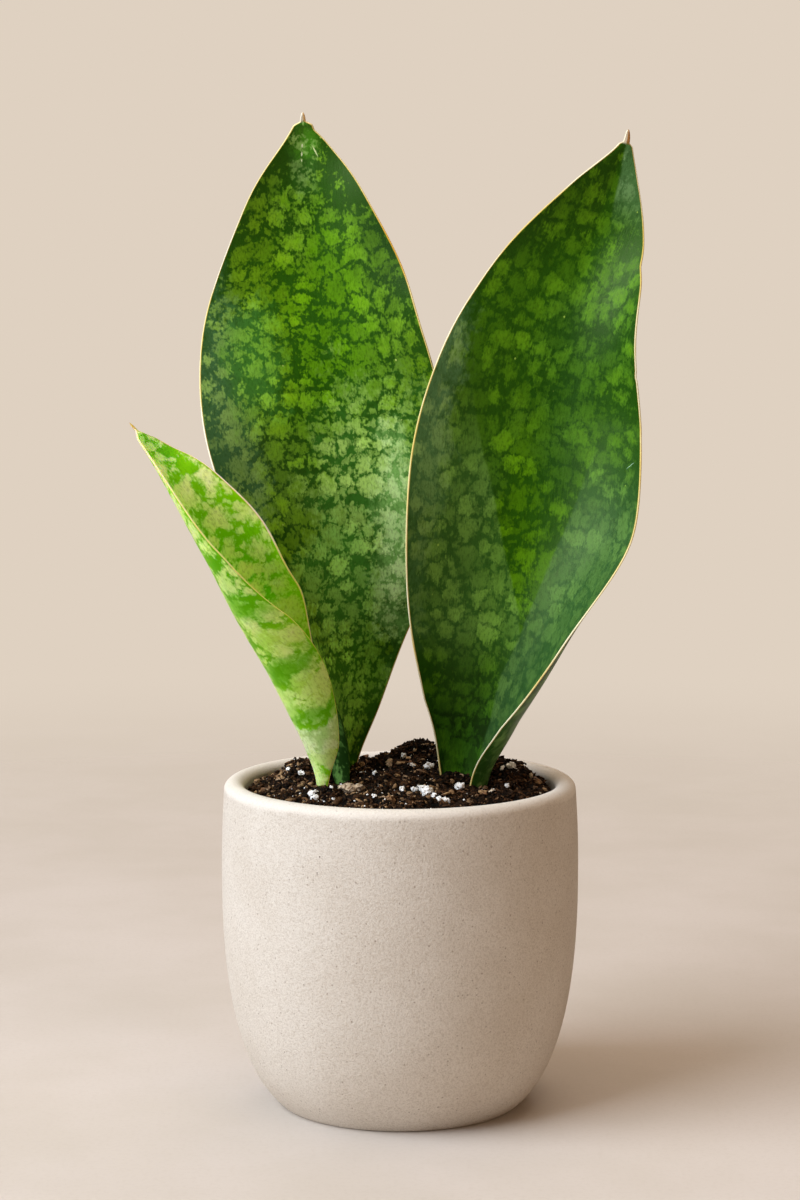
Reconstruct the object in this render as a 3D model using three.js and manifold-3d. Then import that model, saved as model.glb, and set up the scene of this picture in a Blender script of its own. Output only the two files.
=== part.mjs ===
// A young whale fin snake plant in a round-bellied stoneware pot: three leaves on one
// underground stem, standing in potting soil.
// Millimetres. X runs to the right, Y away from the front and Z up. The origin is the
// centre of the pot's foot, on the surface that the pot stands on.

import * as THREE from "three";
import { mergeVertices } from "three/addons/utils/BufferGeometryUtils.js";
import Module from "manifold-3d";

// The pot
const potHeight = 137;
const bellyHeight = 98.5;
const bellyRadius = 74.8;
const wallThickness = 8.5;
const floorThickness = 10;
const outerDepth = 108;
const innerDepth = 98;
const bellyFullness = 2.36;
const footRoundness = 4.14;
const rimDrawIn = 1.5;
const lipHeight = 3.6;
const aroundPot = 52;

// The soil
const soilLine = 130;
const soilCrown = 7;
const soilRings = 9;
const mounds = [
  { x: 8, y: 28, height: 10, spread: 13 },
  { x: 46, y: 20, height: 8, spread: 10 },
  { x: -43, y: 17, height: 7, spread: 9 },
  { x: 26, y: 40, height: 4, spread: 10 },
  { x: -33, y: -29, height: 3, spread: 9 },
  { x: -23, y: -5, height: -3, spread: 8 },
];
const lumpHeight = 1.2;
const lumpLength = 22;
const crumbCount = 30;
const chipCount = 6;
const smallestCrumb = 1.8;
const largestCrumb = 3.8;
const chipLength = 2.2;
const chipHeight = 0.5;
const crumbsWithin = 56;
const clearOfCrowns = 12;

// Free space between pieces that touch
const gap = 0.3;

// Rows along a leaf and columns across it
const leafRows = 34;
const leafColumns = 10;

// The leaves. Each station is a level of the leaf: the midrib's place, half of the blade's
// width measured along its curve, how far the left and right halves curl up in degrees, and
// the compass direction that the inner face looks in, where 270 is to the front.
// A wave makes a margin swell and lift: its size, its length and the height of one crest.
const tallLeftLeaf = {
  footThickness: 4.6,
  tipThickness: 1.8,
  leftWave: { size: 0.3, lift: 0.8, length: 58, crest: 328 },
  rightWave: { size: 0.3, lift: 1, length: 54, crest: 322 },
  stations: [
    { z: 105, x: -29, y: 9, half: 12, curl: [90, 75], faces: 355 },
    { z: 137, x: -29, y: 15, half: 14.5, curl: [90, 70], faces: 350 },
    { z: 165, x: -29, y: 18, half: 24, curl: [85, 55], faces: 325 },
    { z: 200, x: -30, y: 19, half: 37, curl: [75, 40], faces: 305 },
    { z: 245, x: -29.5, y: 18, half: 49, curl: [55, 40], faces: 280 },
    { z: 290, x: -32.5, y: 17, half: 52.5, curl: [35, 35], faces: 270 },
    { z: 335, x: -35, y: 17.5, half: 45.5, curl: [20, 30], faces: 260 },
    { z: 375, x: -38, y: 17.5, half: 27.5, curl: [20, 25], faces: 265 },
    { z: 400, x: -39.5, y: 18.5, half: 11, curl: [25, 25], faces: 270 },
    { z: 411, x: -39.5, y: 13, half: 1, curl: [20, 20], faces: 270 },
  ],
};

const tallRightLeaf = {
  footThickness: 4.6,
  tipThickness: 1.8,
  leftWave: { size: 0.4, lift: 0.8, length: 66, crest: 298 },
  rightWave: { size: 0.9, lift: 1.4, length: 68, crest: 340 },
  stations: [
    { z: 105, x: 33, y: 2, half: 14, curl: [110, 110], faces: 215 },
    { z: 137, x: 35, y: 3.5, half: 21.5, curl: [105, 105], faces: 215 },
    { z: 165, x: 41.5, y: 2, half: 36, curl: [90, 100], faces: 230 },
    { z: 200, x: 47.5, y: 0, half: 48.5, curl: [70, 90], faces: 250 },
    { z: 245, x: 52.5, y: 1, half: 55.5, curl: [50, 65], faces: 265 },
    { z: 290, x: 58, y: 3, half: 50.5, curl: [35, 55], faces: 265 },
    { z: 335, x: 69.5, y: 0, half: 38, curl: [25, 55], faces: 260 },
    { z: 375, x: 83, y: 0.5, half: 19, curl: [20, 35], faces: 275 },
    { z: 398, x: 91.5, y: 0, half: 4, curl: [25, 25], faces: 280 },
    { z: 403, x: 93, y: -1, half: 1, curl: [20, 20], faces: 270 },
  ],
};

const youngLeaf = {
  footThickness: 2.4,
  tipThickness: 1.6,
  leftWave: { size: 0.5, lift: 0.6, length: 60, crest: 270 },
  rightWave: { size: 1.2, lift: 2, length: 40, crest: 224 },
  stations: [
    { z: 112, x: -33, y: -22, half: 4, curl: [60, 60], faces: 25 },
    { z: 138, x: -34, y: -24, half: 5.5, curl: [80, 85], faces: 20 },
    { z: 153, x: -38.5, y: -25, half: 17.5, curl: [100, 105], faces: 20 },
    { z: 179, x: -50, y: -33.5, half: 29, curl: [130, 115], faces: 15 },
    { z: 209, x: -64.5, y: -42.5, half: 33.5, curl: [130, 120], faces: -10 },
    { z: 239, x: -74.5, y: -50.5, half: 26.5, curl: [110, 105], faces: -40 },
    { z: 265, x: -89, y: -50.5, half: 14, curl: [75, 60], faces: -45 },
    { z: 288, x: -108.5, y: -36.5, half: 1, curl: [20, 20], faces: -40 },
  ],
};

const marginThickness = 1.2;

// The underground stem runs from its growing tip at the left to its oldest end at the right.
// Each stretch has its place and its radius.
const stemPath = [
  { x: -38, y: -38, z: 96, radius: 2 },
  { x: -34, y: -28, z: 94, radius: 6 },
  { x: -26, y: -12, z: 90, radius: 8.5 },
  { x: -17, y: 6, z: 87, radius: 8.5 },
  { x: 2, y: 9, z: 86, radius: 8 },
  { x: 18, y: 2, z: 87, radius: 8.5 },
  { x: 32, y: -2, z: 87, radius: 9 },
  { x: 45, y: -6, z: 84, radius: 3 },
];
const stemRows = 14;
const stemSides = 8;
const ringDepth = 0.05;
const crownRows = 3;
const crownSides = 10;
const crownFoot = 84;
const crownShoulder = 92;
const crownCap = 6;

// The crowns that the leaves rise from
const crowns = [
  { x: -20.5, y: 8.5, top: 109, radius: 12 },
  { x: 27.5, y: -2, top: 109, radius: 11 },
  { x: -30.5, y: -21, top: 117, radius: 7 },
];

// The roots, each from a point on the stem to a point near the pot's floor
const roots = [
  { from: [-32, -24, 88], to: [-42, -30, 34] },
  { from: [-22, -4, 84], to: [-38, 12, 30] },
  { from: [-14, 7, 80], to: [-12, 30, 24] },
  { from: [4, 8, 80], to: [6, -20, 22] },
  { from: [20, 2, 81], to: [22, 28, 26] },
  { from: [36, -3, 80], to: [44, -20, 34] },
];
const rootRadius = 2.2;
const rootTipRadius = 0.9;
const rootBow = 3;
const rootRows = 4;
const rootSides = 5;

const wasm = await Module();
wasm.setup();

// A closed solid from a geometry whose faces may still be split at seams and poles
function solidOf(geometry) {
  geometry.deleteAttribute("normal");
  geometry.deleteAttribute("uv");
  const merged = mergeVertices(geometry, 1e-4);
  const corners = merged.index.array;
  const kept = [];
  for (let i = 0; i < corners.length; i += 3) {
    const [a, b, c] = [corners[i], corners[i + 1], corners[i + 2]];
    if (a !== b && b !== c && c !== a) {
      kept.push(a, b, c);
    }
  }
  return new wasm.Manifold(new wasm.Mesh({
    numProp: 3,
    vertProperties: new Float32Array(merged.attributes.position.array),
    triVerts: new Uint32Array(kept),
  }));
}

function geometryOf(solid) {
  const mesh = solid.getMesh();
  const geometry = new THREE.BufferGeometry();
  geometry.setAttribute("position", new THREE.BufferAttribute(mesh.vertProperties, 3));
  geometry.setIndex(new THREE.BufferAttribute(mesh.triVerts, 1));
  geometry.computeVertexNormals();
  return geometry;
}

function solidFromRings(rings, capTriangles, splitsOtherWay) {
  const count = rings[0].length;
  const points = rings.flat().flatMap((p) => [p.x, p.y, p.z]);
  const corners = [];
  for (let i = 0; i < rings.length - 1; i += 1) {
    for (let k = 0; k < count; k += 1) {
      const a = i * count + k;
      const b = i * count + ((k + 1) % count);
      const c = b + count;
      const d = a + count;
      if (splitsOtherWay(k)) {
        corners.push(a, b, d, b, c, d);
      } else {
        corners.push(a, b, c, a, c, d);
      }
    }
  }
  const last = (rings.length - 1) * count;
  for (const [a, b, c] of capTriangles) {
    corners.push(a, c, b);
    corners.push(last + a, last + b, last + c);
  }
  const geometry = new THREE.BufferGeometry();
  geometry.setAttribute("position", new THREE.Float32BufferAttribute(points, 3));
  geometry.setIndex(corners);
  return solidOf(geometry);
}

// A smooth curve through evenly spaced values, at t from 0 to 1
function smoothThrough(values, t) {
  const spot = t * (values.length - 1);
  const i = Math.min(Math.floor(spot), values.length - 2);
  const f = spot - i;
  const b = values[i];
  const c = values[i + 1];
  const a = i > 0 ? values[i - 1] : 2 * b - c;
  const d = i + 2 < values.length ? values[i + 2] : 2 * c - b;
  const cubic = (3 * b - 3 * c + d - a) * f ** 3;
  return 0.5 * (2 * b + (c - a) * f + (2 * a - 5 * b + 4 * c - d) * f ** 2 + cubic);
}

// A number from 0 to 1 that is the same on every run
function seededDraws(seed) {
  let state = seed;
  return () => {
    state = (state * 1664525 + 1013904223) % 4294967296;
    return state / 4294967296;
  };
}

// The pot's flank: full at the belly, rounded in to the foot, drawn in a little at the rim
function flank(z, radius, depth) {
  if (z > bellyHeight) {
    return radius - rimDrawIn * ((z - bellyHeight) / (potHeight - bellyHeight)) ** 2;
  }
  return radius * (1 - ((bellyHeight - z) / depth) ** bellyFullness) ** (1 / footRoundness);
}

function outerFlank(z) {
  return flank(z, bellyRadius, outerDepth);
}

function innerFlank(z) {
  return flank(z, bellyRadius - wallThickness, innerDepth);
}

// Levels that lie closer together towards the bottom, where the flank curves most
function levels(low, high, count) {
  const steps = Array.from({ length: count + 1 }, (_, i) => i / count);
  return steps.map((s) => low + (high - low) * s ** 1.8);
}

// The levels at which both the pot's inner wall and the soil's side are set out
const innerLevels = levels(floorThickness, soilLine, 6);

function lathe(profile) {
  const outline = profile.map(([radius, z]) => new THREE.Vector2(radius, z));
  const geometry = new THREE.LatheGeometry(outline, aroundPot);
  geometry.rotateX(Math.PI / 2);
  return geometry;
}

function potSolid() {
  const shoulder = potHeight - lipHeight;
  const outer = levels(0, shoulder, 10).map((z) => [outerFlank(z), z]);
  const inner = [...innerLevels, shoulder].map((z) => [innerFlank(z), z]);
  const lipMiddle = (outerFlank(shoulder) + innerFlank(shoulder)) / 2;
  const lipHalf = (outerFlank(shoulder) - innerFlank(shoulder)) / 2;
  const lip = [36, 72, 108, 144].map((degrees) => {
    const angle = THREE.MathUtils.degToRad(degrees);
    return [lipMiddle + lipHalf * Math.cos(angle), shoulder + lipHeight * Math.sin(angle)];
  });
  const profile = [[0, 0], ...outer, ...lip, ...inner.reverse(), [0, floorThickness]];
  return solidOf(lathe(profile));
}

// The soil's surface: a low crown with mounds, dips and lumps, level where it meets the wall
function soilTop(x, y) {
  const reach = Math.hypot(x, y) / innerFlank(soilLine);
  const inside = 1 - Math.min(reach, 1) ** 10;
  let height = soilCrown * (1 - Math.min(reach, 1) ** 2.5);
  for (const mound of mounds) {
    const distance = Math.hypot(x - mound.x, y - mound.y) / mound.spread;
    height += inside * mound.height * Math.exp(-(distance ** 2) / 2);
  }
  const pace = (2 * Math.PI) / lumpLength;
  const along = Math.sin(pace * x + Math.sin(0.65 * pace * y));
  const across = Math.sin(0.9 * pace * y + Math.sin(0.55 * pace * x));
  return soilLine + height + inside * lumpHeight * along * across;
}

function soilBody() {
  const edge = innerFlank(soilLine) - gap;
  const floor = floorThickness + gap;
  const side = innerLevels.map((z) => [innerFlank(z) - gap, Math.max(z, floor)]);
  const rings = Array.from({ length: soilRings - 1 }, (_, i) => 1 - (i + 1) / soilRings);
  const top = rings.map((share) => [edge * share, soilLine]);
  const geometry = lathe([[0, floor], ...side, ...top, [0, soilLine]]);
  const position = geometry.attributes.position;
  for (let i = 0; i < position.count; i += 1) {
    if (position.getZ(i) > soilLine - 0.01) {
      position.setZ(i, soilTop(position.getX(i), position.getY(i)));
    }
  }
  return solidOf(geometry);
}

// Crumbs of peat and chips of bark, pressed into the surface and clear of the leaves
function surfacePieces() {
  const draw = seededDraws(41);
  const pieces = [];
  while (pieces.length < crumbCount + chipCount) {
    const angle = draw() * 2 * Math.PI;
    const reach = crumbsWithin * Math.sqrt(draw());
    const x = reach * Math.cos(angle);
    const y = reach * Math.sin(angle);
    const size = THREE.MathUtils.lerp(smallestCrumb, largestCrumb, draw());
    const isChip = pieces.length >= crumbCount;
    const length = isChip ? chipLength : 1 + 0.4 * draw();
    const height = isChip ? chipHeight : 0.8 + 0.3 * draw();
    const turn = new THREE.Euler(0.5 * draw(), 0.5 * draw(), 2 * Math.PI * draw());
    const apart = crowns.map((crown) => Math.hypot(x - crown.x, y - crown.y) - crown.radius);
    if (Math.min(...apart) < clearOfCrowns) {
      continue;
    }
    const geometry = isChip
      ? new THREE.BoxGeometry(2 * size, 2 * size, 2 * size)
      : new THREE.IcosahedronGeometry(size, 0);
    geometry.scale(length, 1, height);
    geometry.rotateX(turn.x);
    geometry.rotateY(turn.y);
    geometry.rotateZ(turn.z);
    geometry.translate(x, y, soilTop(x, y) + 0.2 * size);
    pieces.push(solidOf(geometry));
  }
  return pieces;
}

function levelOf(leaf, t) {
  const along = (read) => smoothThrough(leaf.stations.map(read), t);
  return {
    middle: new THREE.Vector3(along((s) => s.x), along((s) => s.y), along((s) => s.z)),
    half: Math.max(along((s) => s.half), 0.8),
    curl: [along((s) => s.curl[0]), along((s) => s.curl[1])],
    faces: THREE.MathUtils.degToRad(along((s) => s.faces)),
  };
}

// The waves fade in above the foot and out towards the tip
function waveAt(wave, z, leaf) {
  const foot = leaf.stations[2].z;
  const tip = leaf.stations[leaf.stations.length - 1].z;
  const share = THREE.MathUtils.clamp((z - foot) / (tip - foot), 0, 1);
  const strength = Math.sin(Math.PI * share) ** 0.5;
  return strength * Math.cos((2 * Math.PI * (z - wave.crest)) / wave.length);
}

// One ring round the blade: the inner face from left to right, then the outer face back
function leafRing(leaf, t, grown) {
  const here = levelOf(leaf, t);
  const step = 0.01;
  const after = levelOf(leaf, Math.min(t + step, 1)).middle;
  const before = levelOf(leaf, Math.max(t - step, 0)).middle;
  const rise = after.sub(before).normalize();
  const looks = new THREE.Vector3(Math.cos(here.faces), Math.sin(here.faces), 0);
  const inward = looks.addScaledVector(rise, -looks.dot(rise)).normalize();
  const across = new THREE.Vector3().crossVectors(rise, inward);
  const middleThickness = THREE.MathUtils.lerp(leaf.footThickness, leaf.tipThickness, t ** 0.8);

  const faces = { inner: [], outer: [], edges: [] };
  for (let j = 0; j <= leafColumns; j += 1) {
    const u = (2 * j) / leafColumns - 1;
    const side = u < 0 ? 0 : 1;
    const wave = side === 0 ? leaf.leftWave : leaf.rightWave;
    const swing = waveAt(wave, here.middle.z, leaf);
    const half = here.half + wave.size * swing * Math.min(here.half / 10, 1);
    const bend = THREE.MathUtils.degToRad(here.curl[side]) / half;
    const angle = bend * u * half;
    const lift = wave.lift * swing * Math.abs(u) ** 3 * Math.min(here.half / 20, 1);
    const normal = inward.clone().multiplyScalar(Math.cos(angle));
    normal.addScaledVector(across, -Math.sin(angle));
    const outward = across.clone().multiplyScalar(Math.cos(angle));
    outward.addScaledVector(inward, Math.sin(angle));
    const point = here.middle.clone();
    point.addScaledVector(across, Math.sin(angle) / bend);
    point.addScaledVector(inward, (1 - Math.cos(angle)) / bend);
    point.addScaledVector(normal, lift);
    const widest = Math.min(middleThickness, 0.5 / bend);
    const bulge = Math.max(widest - marginThickness, 0) * (1 - Math.abs(u) ** 2.5);
    const thickness = marginThickness + bulge;
    faces.outer.push(point.clone().addScaledVector(normal, -grown));
    faces.inner.push(point.clone().addScaledVector(normal, thickness + grown));
    if (Math.abs(u) === 1) {
      const edge = point.clone().addScaledVector(normal, thickness / 2);
      edge.addScaledVector(outward, u * (marginThickness / 3 + grown));
      faces.edges.push(edge);
    }
  }
  const ring = [...faces.inner, faces.edges[1], ...faces.outer.reverse(), faces.edges[0]];
  if (t === 0) {
    ring.forEach((point) => point.addScaledVector(rise, -grown));
  }
  return ring;
}

// A leaf, or with a growth the hole that it stands in
function leafSolid(leaf, grown = 0) {
  const rings = [];
  for (let i = 0; i <= leafRows; i += 1) {
    rings.push(leafRing(leaf, i / leafRows, grown));
  }
  const n = leafColumns;
  const last = 2 * n + 3;
  const outer = (j) => 2 * n + 2 - j;
  const cap = [[n, n + 1, outer(n)], [last, 0, outer(0)]];
  for (let j = 0; j < n; j += 1) {
    cap.push([j, j + 1, outer(j + 1)], [j, outer(j + 1), outer(j)]);
  }
  return solidFromRings(rings, cap, (k) => k > n);
}

// A round tapering tube along a smooth path
function tubeSolid(path, rows, sides) {
  const along = (read, t) => smoothThrough(path.map(read), t);
  const at = (t) => new THREE.Vector3(along((p) => p.x, t), along((p) => p.y, t), along((p) => p.z, t));
  const rings = [];
  for (let i = 0; i <= rows; i += 1) {
    const t = i / rows;
    const way = at(Math.min(t + 0.01, 1)).sub(at(Math.max(t - 0.01, 0))).normalize();
    const level = new THREE.Vector3(0, 1, 0);
    const first = new THREE.Vector3().crossVectors(level, way).normalize();
    const second = new THREE.Vector3().crossVectors(way, first);
    const radius = along((p) => p.radius, t);
    const ring = [];
    for (let k = 0; k < sides; k += 1) {
      const angle = (2 * Math.PI * k) / sides;
      const point = at(t).addScaledVector(first, radius * Math.cos(angle));
      ring.push(point.addScaledVector(second, radius * Math.sin(angle)));
    }
    rings.push(ring);
  }
  const cap = Array.from({ length: sides - 2 }, (_, k) => [0, k + 1, k + 2]);
  return solidFromRings(rings, cap, () => false);
}

// The stem with its leaf crowns and roots, or with a growth the hollow that it lies in
function stemSolid(grown = 0) {
  const ringed = stemPath.map((p, i) => {
    const swell = i % 2 === 0 ? 1 + ringDepth : 1 - ringDepth;
    return { ...p, radius: p.radius * swell + grown };
  });
  let stem = tubeSolid(ringed, stemRows, stemSides);
  for (const crown of crowns) {
    const path = [
      { x: crown.x, y: crown.y, z: crownFoot - grown, radius: crown.radius * 0.5 + grown },
      { x: crown.x, y: crown.y, z: crownShoulder, radius: crown.radius * 0.8 + grown },
      { x: crown.x, y: crown.y, z: crown.top - crownCap, radius: crown.radius + grown },
      { x: crown.x, y: crown.y, z: crown.top + grown, radius: crown.radius * 0.9 + grown },
    ];
    stem = stem.add(tubeSolid(path, crownRows, crownSides));
  }
  for (const root of roots) {
    const [x, y, z] = root.from;
    const [endX, endY, endZ] = root.to;
    const path = [
      { x, y, z, radius: rootRadius + grown },
      {
        x: (x + endX) / 2 + rootBow,
        y: (y + endY) / 2 - rootBow,
        z: (z + endZ) / 2,
        radius: (rootRadius + rootTipRadius) / 2 + grown,
      },
      { x: endX, y: endY, z: endZ - grown, radius: rootTipRadius + grown },
    ];
    stem = stem.add(tubeSolid(path, rootRows, rootSides));
  }
  return stem;
}

const leaves = [tallLeftLeaf, tallRightLeaf, youngLeaf];

function soilSolid() {
  let soil = soilBody();
  for (const piece of surfacePieces()) {
    soil = soil.add(piece);
  }
  soil = soil.subtract(stemSolid(gap));
  for (const leaf of leaves) {
    soil = soil.subtract(leafSolid(leaf, gap));
  }
  return soil;
}

function rhizomeSolid() {
  let stem = stemSolid();
  for (const leaf of leaves) {
    stem = stem.subtract(leafSolid(leaf, gap));
  }
  return stem;
}

function stoneware() {
  return new THREE.MeshStandardMaterial({ color: "#c9bcab", roughness: 0.85, metalness: 0 });
}

function pottingSoil() {
  return new THREE.MeshStandardMaterial({ color: "#2b1f18", roughness: 1, metalness: 0 });
}

function matureLeaf() {
  return new THREE.MeshStandardMaterial({ color: "#3c6a22", roughness: 0.4, metalness: 0 });
}

function freshLeaf() {
  return new THREE.MeshStandardMaterial({ color: "#7fae4a", roughness: 0.4, metalness: 0 });
}

function rootstock() {
  return new THREE.MeshStandardMaterial({ color: "#c58a4a", roughness: 0.8, metalness: 0 });
}

const group = new THREE.Group();

function place(name, solid, material) {
  const mesh = new THREE.Mesh(geometryOf(solid), material);
  mesh.name = name;
  group.add(mesh);
}

place("pot", potSolid(), stoneware());
place("soil", soilSolid(), pottingSoil());
place("rhizome", rhizomeSolid(), rootstock());
place("tall_left_leaf", leafSolid(tallLeftLeaf), matureLeaf());
place("tall_right_leaf", leafSolid(tallRightLeaf), matureLeaf());
place("young_leaf", leafSolid(youngLeaf), freshLeaf());

export default group;
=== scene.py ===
# A young whale fin snake plant: three mottled leaves on one underground stem, in potting soil in a
# round-bellied stoneware pot. Metres; X runs right, Y away from the front and Z up.

import math
from collections import namedtuple

import bmesh
import bpy
import numpy as np
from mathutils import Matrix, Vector, noise


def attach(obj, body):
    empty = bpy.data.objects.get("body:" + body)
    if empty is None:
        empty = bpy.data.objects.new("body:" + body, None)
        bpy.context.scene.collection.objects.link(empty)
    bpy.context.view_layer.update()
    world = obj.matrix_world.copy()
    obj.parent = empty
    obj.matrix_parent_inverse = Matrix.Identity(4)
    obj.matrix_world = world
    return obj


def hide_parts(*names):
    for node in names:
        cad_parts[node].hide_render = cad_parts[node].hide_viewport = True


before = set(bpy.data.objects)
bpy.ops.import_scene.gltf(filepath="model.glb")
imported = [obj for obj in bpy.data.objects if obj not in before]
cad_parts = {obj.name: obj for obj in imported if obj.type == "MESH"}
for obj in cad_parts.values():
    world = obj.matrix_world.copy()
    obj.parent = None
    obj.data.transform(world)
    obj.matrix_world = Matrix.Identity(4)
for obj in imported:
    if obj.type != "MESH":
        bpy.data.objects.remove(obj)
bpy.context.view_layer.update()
body = "root"

# The pot. It is one piece of sandy stoneware, thrown on a wheel with a round belly, a flat foot and a
# rounded lip, and fired without gloss, so its skin is matte and grainy with brown specks and pin holes.

POT_HEIGHT = 0.137
BELLY_HEIGHT = 0.0985
BELLY_RADIUS = 0.0748
WALL_THICKNESS = 0.0085
FLOOR_THICKNESS = 0.010
OUTER_DEPTH = 0.108
INNER_DEPTH = 0.098
BELLY_FULLNESS = 2.36
FOOT_ROUNDNESS = 4.14
RIM_DRAW_IN = 0.0015
LIP_HEIGHT = 0.0036
FOOT_EDGE = 0.0007
STEPS_ROUND = 240
OUTSIDE_STEPS = 64
INSIDE_STEPS = 40
FLAT_STEPS = 6
LIP_STEPS = 18


def hue(code):
    """A colour as the shaders read it, from its hex code."""
    levels = [int(code[i:i + 2], 16) / 255 for i in (0, 2, 4)]
    return (*[v / 12.92 if v <= 0.04045 else ((v + 0.055) / 1.055) ** 2.4 for v in levels], 1)


def feed(socket, value):
    """Links a socket to another node's output, or gives it a value or the colour of a hex code."""
    if isinstance(value, bpy.types.NodeSocket):
        socket.id_data.links.new(value, socket)
    elif socket.type == "RGBA" and isinstance(value, str):
        socket.default_value = hue(value)
    else:
        socket.default_value = value


def add(tree, kind, feeds=None, **settings):
    """Puts a node in a tree with its settings, and feeds its sockets by name or number."""
    node = tree.nodes.new(kind)
    for setting, value in settings.items():
        setattr(node, setting, value)
    for socket, value in (feeds or {}).items():
        feed(node.inputs[socket], value)
    return node


def answer(kind, *terms, out=0, **settings):
    """What a node makes of its terms, in the tree that the first socket among them is in."""
    tree = next(t.id_data for t in terms if isinstance(t, bpy.types.NodeSocket))
    return add(tree, kind, dict(enumerate(terms)), **settings).outputs[out]


def calc(operation, *terms):
    """The result of a sum on numbers that change over the piece."""
    return answer("ShaderNodeMath", *terms, operation=operation)


def plus(first, second):
    return calc("ADD", first, second)


def minus(first, second):
    return calc("SUBTRACT", first, second)


def times(first, second):
    return calc("MULTIPLY", first, second)


def shift(operation, *terms):
    """The result of a sum on places or directions."""
    return answer("ShaderNodeVectorMath", *terms, operation=operation)


def scaled(way, amount):
    """A direction made longer or shorter."""
    return add(way.id_data, "ShaderNodeVectorMath", {0: way, "Scale": amount}, operation="SCALE").outputs[0]


def join(x, y, z=0):
    """A place from its three numbers."""
    return answer("ShaderNodeCombineXYZ", x, y, z)


def split(place):
    """The three numbers of a place."""
    return add(place.id_data, "ShaderNodeSeparateXYZ", {0: place}).outputs


def split_colour(colour):
    """The three numbers of a colour."""
    return add(colour.id_data, "ShaderNodeSeparateColor", {0: colour}).outputs


def ramp(value, low, high, to_low=0.0, to_high=1.0):
    """Eases from one value to another while the input goes from low to high."""
    return answer("ShaderNodeMapRange", value, low, high, to_low, to_high, interpolation_type="SMOOTHSTEP")


def tint(share, first, second):
    """Mixes two colours by a share from 0 to 1."""
    feeds = {0: share, 6: first, 7: second}
    return add(share.id_data, "ShaderNodeMix", feeds, data_type="RGBA").outputs[2]


def grain(place, scale, detail=3.0, roughness=0.55):
    """Cloudy noise: its value and its colour."""
    feeds = {"Vector": place, "Scale": scale, "Detail": detail, "Roughness": roughness}
    return add(place.id_data, "ShaderNodeTexNoise", feeds).outputs


def specks(place, scale, channel, rarity, largest, softness):
    """Scattered round spots of many sizes, in cells of which only the chosen ones hold a spot."""
    far, own = add(place.id_data, "ShaderNodeTexVoronoi", {"Vector": place, "Scale": scale}).outputs[:2]
    size = ramp(split_colour(own)[channel], rarity, 1.0, 0.0, largest)
    return ramp(minus(size, far), 0.0, softness)


def new_tree(name, kind, inputs, outputs):
    """An empty tree, and the named sockets of what it takes and of what it makes."""
    tree = bpy.data.node_groups.new(name, kind)
    for way, sockets in (("INPUT", inputs), ("OUTPUT", outputs)):
        for socket_name, socket_type in sockets.items():
            tree.interface.new_socket(socket_name, in_out=way, socket_type=f"NodeSocket{socket_type}")
    return tree, tree.nodes.new("NodeGroupInput").outputs, tree.nodes.new("NodeGroupOutput").inputs


def new_finish(name):
    """An empty material: its tree and its surface shader."""
    finish = bpy.data.materials.new(name)
    finish.use_nodes = True
    shader = next(n for n in finish.node_tree.nodes if n.type == "BSDF_PRINCIPLED")
    return finish, finish.node_tree, shader


def own_place(tree):
    """Where a point of the piece is, in the piece's own frame."""
    return add(tree, "ShaderNodeTexCoord").outputs["Object"]


def coat(shader, colour, roughness, relief, strength, depth):
    """Gives a surface its colour, its roughness and its relief."""
    feeds = {"Height": relief, "Strength": strength, "Distance": depth}
    bump = add(relief.id_data, "ShaderNodeBump", feeds).outputs[0]
    for socket, value in (("Base Color", colour), ("Roughness", roughness), ("Normal", bump)):
        feed(shader.inputs[socket], value)


def grow(maker, tree, values):
    """Runs a Geometry Nodes tree on an object with named values, and keeps the result as its mesh."""
    modifier = maker.modifiers.new(tree.name, "NODES")
    modifier.node_group = tree
    sockets = {s.name: s.identifier for s in tree.interface.items_tree if s.in_out == "INPUT"}
    for name, value in values.items():
        modifier[sockets[name]] = value
    graph = bpy.context.evaluated_depsgraph_get()
    made = bpy.data.meshes.new_from_object(maker.evaluated_get(graph), depsgraph=graph)
    maker.modifiers.clear()
    maker.data = made
    made.name = maker.name


def new_piece(name, points, faces=()):
    """A mesh object in the scene, made of points and faces."""
    mesh = bpy.data.meshes.new(name)
    mesh.from_pydata([tuple(p) for p in points], [], [tuple(f) for f in faces])
    piece = bpy.data.objects.new(name, mesh)
    bpy.context.scene.collection.objects.link(piece)
    return piece


def flank(height, radius, depth):
    """The wall's radius: full at the belly, rounded in to the foot, drawn in a little at the rim."""
    if height > BELLY_HEIGHT:
        return radius - RIM_DRAW_IN * ((height - BELLY_HEIGHT) / (POT_HEIGHT - BELLY_HEIGHT)) ** 2
    return radius * (1 - ((BELLY_HEIGHT - height) / depth) ** BELLY_FULLNESS) ** (1 / FOOT_ROUNDNESS)


def outer_flank(height):
    return flank(height, BELLY_RADIUS, OUTER_DEPTH)


def inner_flank(height):
    return flank(height, BELLY_RADIUS - WALL_THICKNESS, INNER_DEPTH)


def levels(low, high, count):
    """Levels that lie closer together towards the bottom, where the wall curves most."""
    return [low + (high - low) * (i / count) ** 1.8 for i in range(count + 1)]


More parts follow.
